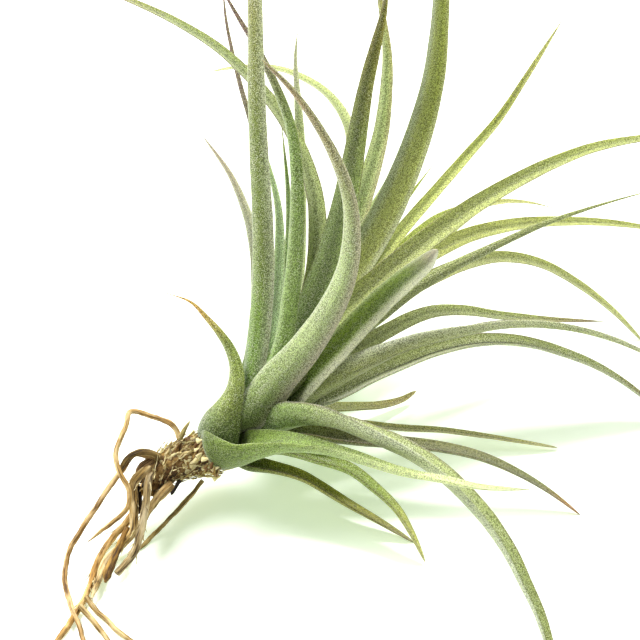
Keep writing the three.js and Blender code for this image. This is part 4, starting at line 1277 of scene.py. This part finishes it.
class RootSettings(bpy.types.PropertyGroup):
    patched: FloatProperty(name="Patched", description="How much of a root is pale", default=0.9)
    wobble: FloatProperty(
        name="Wobble", description="How far a root strays from its route", default=0.7 * MM, unit="LENGTH"
    )
    wrinkle: FloatProperty(name="Wrinkle", description="How much a root's girth varies", default=0.6)
    hairs: IntProperty(name="Hairs", description="Fine hairs on the thicker roots", default=44)


class StageSettings(bpy.types.PropertyGroup):
    floor: FloatVectorProperty(
        name="Floor", description="Colour of the floor", subtype="COLOR", default=(0.86, 0.86, 0.86)
    )
    shade: FloatVectorProperty(
        name="Shade", description="Tint of the floor's glow, which colours the shadows", subtype="COLOR",
        default=(0.77, 1.0, 0.64),
    )
    lift: FloatProperty(
        name="Lift", description="How much the floor glows, which keeps shadows pale", default=0.48
    )
    daylight: FloatProperty(name="Daylight", description="Strength of the light all round", default=0.36)
    key: FloatProperty(name="Key Light", description="Power of the main light in watts", default=11.0)


SETTINGS = {"leaves": LeafSettings, "stem": StemSettings, "roots": RootSettings, "stage": StageSettings}


# Leaves

def core_radius(along):
    """The radius of the stem's core inside the rosette, in millimetres."""
    return CORE_RADIUS + (CORE_TOP_RADIUS - CORE_RADIUS) * min(max(along / CORE_LENGTH, 0), 1)


def leaf_rail(name, leaf, step):
    """A leaf's middle line, and the way its channel faces along it."""
    route = [place(*point) for point in leaf["line"]]
    root = AXIS_START + AXIS * leaf["at"] * MM
    outward = square_to(AXIS, route[0] - root)
    seat_depth = SUNK_SEAT if leaf.get("sunk") else SHEATH_SEAT
    start = root + outward * (core_radius(leaf["at"]) + seat_depth) * MM
    stations = smooth_line(route if leaf.get("whole") else [start, *route], step)
    clasping = (AXIS - outward).normalized()
    first, last = leaf.get("mouth", MOUTH)
    facings = []
    for station in stations:
        s = min((station.along + NO_ZERO) / (leaf.get("turned", FACING_SHARE) + NO_ZERO), 1)
        s = s * s * (3 - 2 * s)
        open_way = (AXIS + SIGHTWARD * (first + (last - first) * station.along)).normalized()
        wish = facings[-1] if facings and leaf.get("steady") else open_way * s + clasping * (1 - s)
        facings.append(square_to(station.tangent, wish))
    return rail(name, stations, facings), stations[-1].reach


def skin_tone(code, depth, vivid):
    """The skin's own colour, from the paler and greyer one that it shows under bright light and scales."""
    parts = paint(code)
    grey = sum(parts) / 3
    return tuple(max(grey + (part - grey) * vivid, 0) * depth for part in parts)


class PLANT_OT_leaves(bpy.types.Operator):
    """Grows every leaf of the rosette and covers it with its own skin"""

    bl_idname = "plant.leaves"
    bl_label = "Leaves"

    def execute(self, context):
        settings = context.scene.plant_leaves
        shape = leaf_shape()
        skin = leaf_skin()
        edges = {"pale": settings.pale_margin_and_highlight, "plum": settings.plum_edge}
        for number, (node, leaf) in enumerate(LEAVES.items()):
            start, length = leaf_rail(node + "_rail", leaf, settings.ring_step)
            folds = leaf.get("folds", FOLDS)
            look = {
                "Base": skin_tone(leaf["base"], settings.depth, settings.vivid),
                "Body": skin_tone(leaf["body"], settings.depth, settings.vivid),
                "Tip": skin_tone(leaf["tip"], settings.depth, settings.vivid),
                "Tip From": leaf["tip_from"],
                "Margin": tuple(edges[leaf["edge"]]),
                "Margined": leaf["edged"],
                "Margin Width": MARGIN_WIDTHS[leaf["edge"]],
                "Fold Shade": leaf.get("fold_shade", 0.0),
                "Channel Shade": leaf.get("channel_shade", CHANNEL_SHADE),
                "Side Shading": skin_tone(leaf.get("side_shading", leaf["body"]), settings.depth, 1.0),
                "Side Shading Amount": leaf.get("side_shading_amount", 0.0),
                "Side Shading From": leaf.get("side_shading_from", 0.0),
                "Frost": tuple(settings.frost),
                "Frosted": leaf["frost"],
                "Seed": float(number),
            }
            values = {
                "Width": leaf["width"] * MM,
                "Sheath Width": leaf.get("sheath", leaf["width"] * SHEATH_SPREAD) * MM,
                "Sheath Share": min(LONGEST_SHEATH_SHARE, leaf.get("clasp", SHEATH_LENGTH) * MM / length),
                "Gathered": leaf.get("gathered", GATHERED),
                "Gather Length": leaf.get("gather", GATHER_LENGTH) * MM,
                "Slant": leaf.get("slant", 0) * MM,
                "Taper": leaf.get("taper", BLADE_TAPER),
                "Tail": leaf.get("tail", 0.0),
                "Keel": leaf.get("keel", KEEL),
                "Sheath Fold": math.radians(folds[0]),
                "Blade Fold": math.radians(folds[1]),
                "Thickness": settings.thickness,
                "Tip Thickness": settings.tip_thickness,
                "Tip Width": settings.tip_width,
                "Unevenness": settings.unevenness,
                "Sides": settings.sides,
                "Seed": float(number),
                "Material": covering(node + "_skin", skin, look, relief=0.15 * MM, sheen=0.4, glow=0.3),
            }
            piece = grow(node.replace("leaf", "blade"), start, shape, values)
            seat(piece, node)
        return {"FINISHED"}


# Stem

def stem_stations(step):
    """Stations down the middle of the stem, from its lower end to the top of its core, and its radii."""
    points = [place(*row[:3]) for row in STEM_LINE]
    sizes = [row[3] for row in STEM_LINE]
    for along in CORE_STOPS:
        points.append(AXIS_START + AXIS * along * MM)
        sizes.append(core_radius(along))
    stations = smooth_line(points, step)
    reaches = [0.0]
    for a, b in zip(points, points[1:]):
        reaches.append(reaches[-1] + (b - a).length)
    total = stations[-1].reach / reaches[-1]
    radii = []
    for station in stations:
        i = max(k for k in range(len(points) - 1) if reaches[k] * total <= station.reach + ROUNDING)
        share = min((station.reach - reaches[i] * total) / ((reaches[i + 1] - reaches[i]) * total), 1)
        radii.append((sizes[i] + (sizes[i + 1] - sizes[i]) * share) * MM)
    return stations, radii


def arrowed(name, places, facings, headings):
    """Loose points that carry which way they face and head."""
    mesh = bpy.data.meshes.new(name)
    mesh.from_pydata(places, [], [])
    for key, arrows in (("facing", facings), ("sideways", headings)):
        layer = mesh.attributes.new(key, "FLOAT_VECTOR", "POINT")
        layer.data.foreach_set("vector", [c for way in arrows for c in way])
    return mesh


def stem_points(name, count, first, last, rng, lift, patch=None):
    """Points over part of the stem or over a patch of it, which face outwards and head for the crown."""
    stations, radii = stem_stations(FLAKE_STEP)
    facings = steady_facings(stations)
    places, outs, heads = [], [], []
    for k in range(count):
        along = first + (last - first) * (k + rng.random()) / count
        i = min(round(along * (len(stations) - 1)), len(stations) - 1)
        station, facing = stations[i], facings[i]
        angle = k * GOLDEN_ANGLE + rng.uniform(-FLAKE_TURN, FLAKE_TURN)
        if patch:
            angle = math.pi - math.radians(patch["middle"] + patch["spread"] * rng.uniform(-1, 1))
        out = facing * math.cos(angle) + facing.cross(station.tangent) * math.sin(angle)
        climb = (PICTURE_UP - out * PICTURE_UP.dot(out)) * FLAKE_CLIMB
        head = station.tangent + climb + out * rng.uniform(*FLAKE_LIFT)
        head += station.tangent.cross(out) * rng.uniform(-FLAKE_SWAY, FLAKE_SWAY)
        places.append(station.place + out * (radii[i] + lift))
        outs.append(square_to(head.normalized(), out))
        heads.append(head.normalized())
    return arrowed(name, places, outs, heads)


def collar_points(name, rng):
    """Points along the lowest leaf's base, whose flakes face the viewer and lie over the base's edge."""
    places, outs, heads = [], [], []
    stations = smooth_line([place(*point) for point in COLLAR_LINE], COLLAR_STEP)
    for _ in range(COLLAR_FLAKES):
        station = rng.choice(stations)
        across = SIGHTWARD.cross(station.tangent)
        start = station.place - across * rng.uniform(0, COLLAR_SPREAD) * MM
        places.append(start + SIGHTWARD * rng.uniform(*COLLAR_DEPTH) * MM)
        out = (SIGHTWARD + station.tangent * rng.uniform(-COLLAR_TURN, COLLAR_TURN)).normalized()
        head = across + station.tangent * rng.uniform(*COLLAR_SWAY) + out * rng.uniform(*COLLAR_LIFT)
        heads.append(head.normalized())
        outs.append(square_to(head.normalized(), out))
    return arrowed(name, places, outs, heads)


def flake_values(flake, material):
    """What the scale tree is given for one kind of flake."""
    values = {key.capitalize(): size * MM for key, size in flake.items() if key != "seed"}
    return {**values, "Seed": flake["seed"], "Material": material}


class PLANT_OT_stem(bpy.types.Operator):
    """Grows the stem with its torn scales, loose fibres and dry sheaths"""

    bl_idname = "plant.stem"
    bl_label = "Stem"

    def execute(self, context):
        settings = context.scene.plant_stem
        strand = strand_shape()
        scales = scale_shape()
        skin = bark_skin()
        colors = {
            "Pale": tuple(settings.pale),
            "Middle": tuple(settings.middle),
            "Dark": tuple(settings.dark),
            "Fibre": 0.2,
            "Patched": 1.0,
            "Blotch": 0.3,
            "Green From": NOWHERE,
            "Seed": 1.0,
        }
        # Painted shade: the bare stem, seen only in the gaps between its flakes, is painted a step darker
        # than they are and near black in its grooves, as the shade in these gaps; it turns green higher up,
        # where its core does.
        gap_shade_tones = {
            "Pale": tuple(settings.middle),
            "Middle": tuple(settings.dark),
            "Dark": STEM_GAP_SHADE,
            "Fibre": 0.25,
            "Patched": 0.6,
            "Blotch": 0.6,
            "Green From": GREEN_FROM,
            "Seed": 1.0,
        }
        bark = covering("stem_bark", skin, gap_shade_tones, relief=0.4 * MM, sheen=0.0)
        paper = covering("torn_scales", skin, colors, relief=0.15 * MM, sheen=0.1, glow=0.2)
        stations, radii = stem_stations(STEM_STEP)
        start = rail("stem_rail", stations, steady_facings(stations), radii)
        values = {
            "Sides": 48,
            "Wobble": 0.6 * MM,
            "Wrinkle": 0.16,
            "Ring Height": SCAR_HEIGHT,
            "Seed": 3.0,
            "Material": bark,
        }
        seat(grow("bare_stem", start, strand, values), "stem")
        rng = random.Random(STEM_SEED)
        papery = flake_values(FLAKES["papery_sheath"], paper)
        for node, sheath in DRY_SHEATHS.items():
            points = stem_points(node, SHEATH_FLAKES, sheath["start"], sheath["end"], rng, 0.3 * MM, sheath)
            seat(grow(node.replace("dry", "papery"), points, scales, papery), node)
        covers = {
            "torn_scales": stem_points("scales", settings.scales, *FLAKED, rng, 0.2 * MM),
            "loose_fibres": stem_points("fibres", settings.fibres, *FLAKED, rng, 0.9 * MM),
            "torn_collar": collar_points("collar", rng),
        }
        for name, points in covers.items():
            seat(grow(name, points, scales, flake_values(FLAKES[name], paper)))
        return {"FINISHED"}


# Roots

def root_radius(root, along):
    """A root's radius along it, which thins evenly, and closes to a point where the root isn't broken off."""
    thick, thin = root["thick"]
    radius = (thick + (thin - thick) * along) / 2
    if root.get("blunt"):
        return radius
    return radius * max(min((1 - along) / POINT_SHARE, 1), POINT_LEAST) ** POINT_CURVE


def root_stations(root):
    """Stations down the middle of a root."""
    return smooth_line([place(*point) for point in root["line"]], ROOT_STEP)


def hair_points(name, count, rng):
    """Points on the thicker roots where fine hairs start."""
    places, outs, heads = [], [], []
    for k in range(count):
        root = ROOTS[HAIRY_ROOTS[k % len(HAIRY_ROOTS)]]
        stations = root_stations(root)
        station = stations[int(len(stations) * rng.uniform(*HAIRY_SHARE))]
        out = square_to(station.tangent, Vector([rng.uniform(-1, 1) for _ in range(3)]))
        sway = station.tangent.cross(out) * rng.uniform(-HAIR_SWAY, HAIR_SWAY)
        head = (station.tangent + out * HAIR_LEAN + sway).normalized()
        places.append(station.place + out * root_radius(root, station.along) * MM)
        outs.append(square_to(head, out))
        heads.append(head)
    return arrowed(name, places, outs, heads)


class PLANT_OT_roots(bpy.types.Operator):
    """Grows the wiry roots and their fine hairs"""

    bl_idname = "plant.roots"
    bl_label = "Roots"

    def execute(self, context):
        settings = context.scene.plant_roots
        strand = bpy.data.node_groups["Strand"]
        skin = bpy.data.node_groups["Bark Skin"]
        for number, (node, root) in enumerate([*ROOTS.items(), *STRANDS.items()]):
            pale, middle, dark = (paint(tone) for tone in root["tones"])
            colors = {
                "Pale": pale,
                "Middle": middle,
                "Dark": dark,
                "Fibre": 0.06,
                "Patched": settings.patched,
                "Blotch": 0.25,
                "Green From": NOWHERE,
                "Seed": 10.0 + number,
            }
            stations = root_stations(root)
            radii = [root_radius(root, station.along) * MM for station in stations]
            start = rail(node + "_rail", stations, steady_facings(stations), radii)
            values = {
                "Sides": 16,
                "Wobble": settings.wobble,
                "Wrinkle": settings.wrinkle,
                "Ring Height": 0.0,
                "Seed": 20.0 + number * 3,
                "Material": covering(node + "_skin", skin, colors, relief=0.2 * MM, sheen=0.0),
            }
            piece = grow(node.replace("root", "wiry"), start, strand, values)
            seat(piece, node if node in ROOTS else None)
        points = hair_points("root_hairs", settings.hairs, random.Random(HAIR_SEED))
        fine = flake_values(FLAKES["root_hairs"], bpy.data.materials["torn_scales"])
        seat(grow("root_hairs", points, bpy.data.node_groups["Scales"], fine))
        return {"FINISHED"}


# Stage

class PLANT_OT_stage(bpy.types.Operator):
    """Sets the pale floor, the soft light and the camera"""

    bl_idname = "plant.stage"
    bl_label = "Stage"

    def execute(self, context):
        settings = context.scene.plant_stage
        scene = context.scene
        scene.view_settings.view_transform = "Standard"
        mesh = bpy.data.meshes.new("floor")
        corners = [(x * FLOOR_HALF, y * FLOOR_HALF, 0) for x, y in ((-1, -1), (1, -1), (1, 1), (-1, 1))]
        mesh.from_pydata(corners, [], [(0, 1, 2, 3)])
        floor = bpy.data.objects.new("floor", mesh)
        scene.collection.objects.link(floor)
        material = bpy.data.materials.new("floor")
        material.use_nodes = True
        surface = material.node_tree.nodes["Principled BSDF"]
        surface.inputs["Base Color"].default_value = (*settings.floor, 1)
        surface.inputs["Roughness"].default_value = FLOOR_ROUGHNESS
        # Painted light: the floor glows, tinted green near the plant so that its shadows look pale green, and
        # white farther off so that it looks evenly white.
        spot = Sum(add(material.node_tree, "ShaderNodeTexCoord").outputs["Object"])
        away = add(material.node_tree, "ShaderNodeVectorMath", {"Vector": spot}, operation="LENGTH")
        glow = blend(smooth(Sum(away.outputs["Value"]), *SHADE_REACH), tuple(settings.shade), FAR_GLOW)
        feed(surface.inputs["Emission Color"], glow)
        surface.inputs["Emission Strength"].default_value = settings.lift
        mesh.materials.append(material)
        world = bpy.data.worlds.new("daylight")
        world.use_nodes = True
        background = world.node_tree.nodes["Background"]
        background.inputs["Color"].default_value = DAYLIGHT_TINT
        background.inputs["Strength"].default_value = settings.daylight
        scene.world = world
        for name, lamp in LAMPS.items():
            light = bpy.data.lights.new(name, "AREA")
            light.size = lamp["size"]
            light.energy = settings.key * lamp["share"]
            holder = bpy.data.objects.new(name, light)
            holder.location = lamp["spot"]
            holder.rotation_mode = "QUATERNION"
            holder.rotation_quaternion = (-Vector(lamp["spot"])).to_track_quat("-Z", "Y")
            scene.collection.objects.link(holder)
        view = bpy.data.cameras.new("camera")
        view.lens = view.sensor_width * SIGHT_DISTANCE / PICTURE_SIDE
        view.clip_start = NEAREST_SEEN
        camera = bpy.data.objects.new("camera", view)
        camera.location = place(*SIGHT_CENTRE, SIGHT_DISTANCE)
        camera.rotation_mode = "QUATERNION"
        camera.rotation_quaternion = (-SIGHTWARD).to_track_quat("-Z", "Y")
        scene.collection.objects.link(camera)
        scene.camera = camera
        return {"FINISHED"}


class PLANT_PT_panel(bpy.types.Panel):
    """Lists the plant's settings and the steps that make it"""

    bl_idname = "PLANT_PT_panel"
    bl_label = "Air Plant"
    bl_space_type = "VIEW_3D"
    bl_region_type = "UI"
    bl_category = "Air Plant"

    def draw(self, context):
        for key, group in SETTINGS.items():
            box = self.layout.box()
            box.operator("plant." + key)
            for label in group.__annotations__:
                box.prop(getattr(context.scene, "plant_" + key), label)


CLASSES = [*SETTINGS.values(), PLANT_OT_leaves, PLANT_OT_stem, PLANT_OT_roots, PLANT_OT_stage, PLANT_PT_panel]


def register():
    for part in CLASSES:
        bpy.utils.register_class(part)
    for key, group in SETTINGS.items():
        setattr(bpy.types.Scene, "plant_" + key, PointerProperty(type=group))


def unregister():
    for key in SETTINGS:
        delattr(bpy.types.Scene, "plant_" + key)
    for part in reversed(CLASSES):
        bpy.utils.unregister_class(part)


def main():
    register()
    bpy.ops.plant.stage()
    bpy.ops.plant.leaves()
    bpy.ops.plant.stem()
    bpy.ops.plant.roots()


if __name__ == "__main__":
    main()
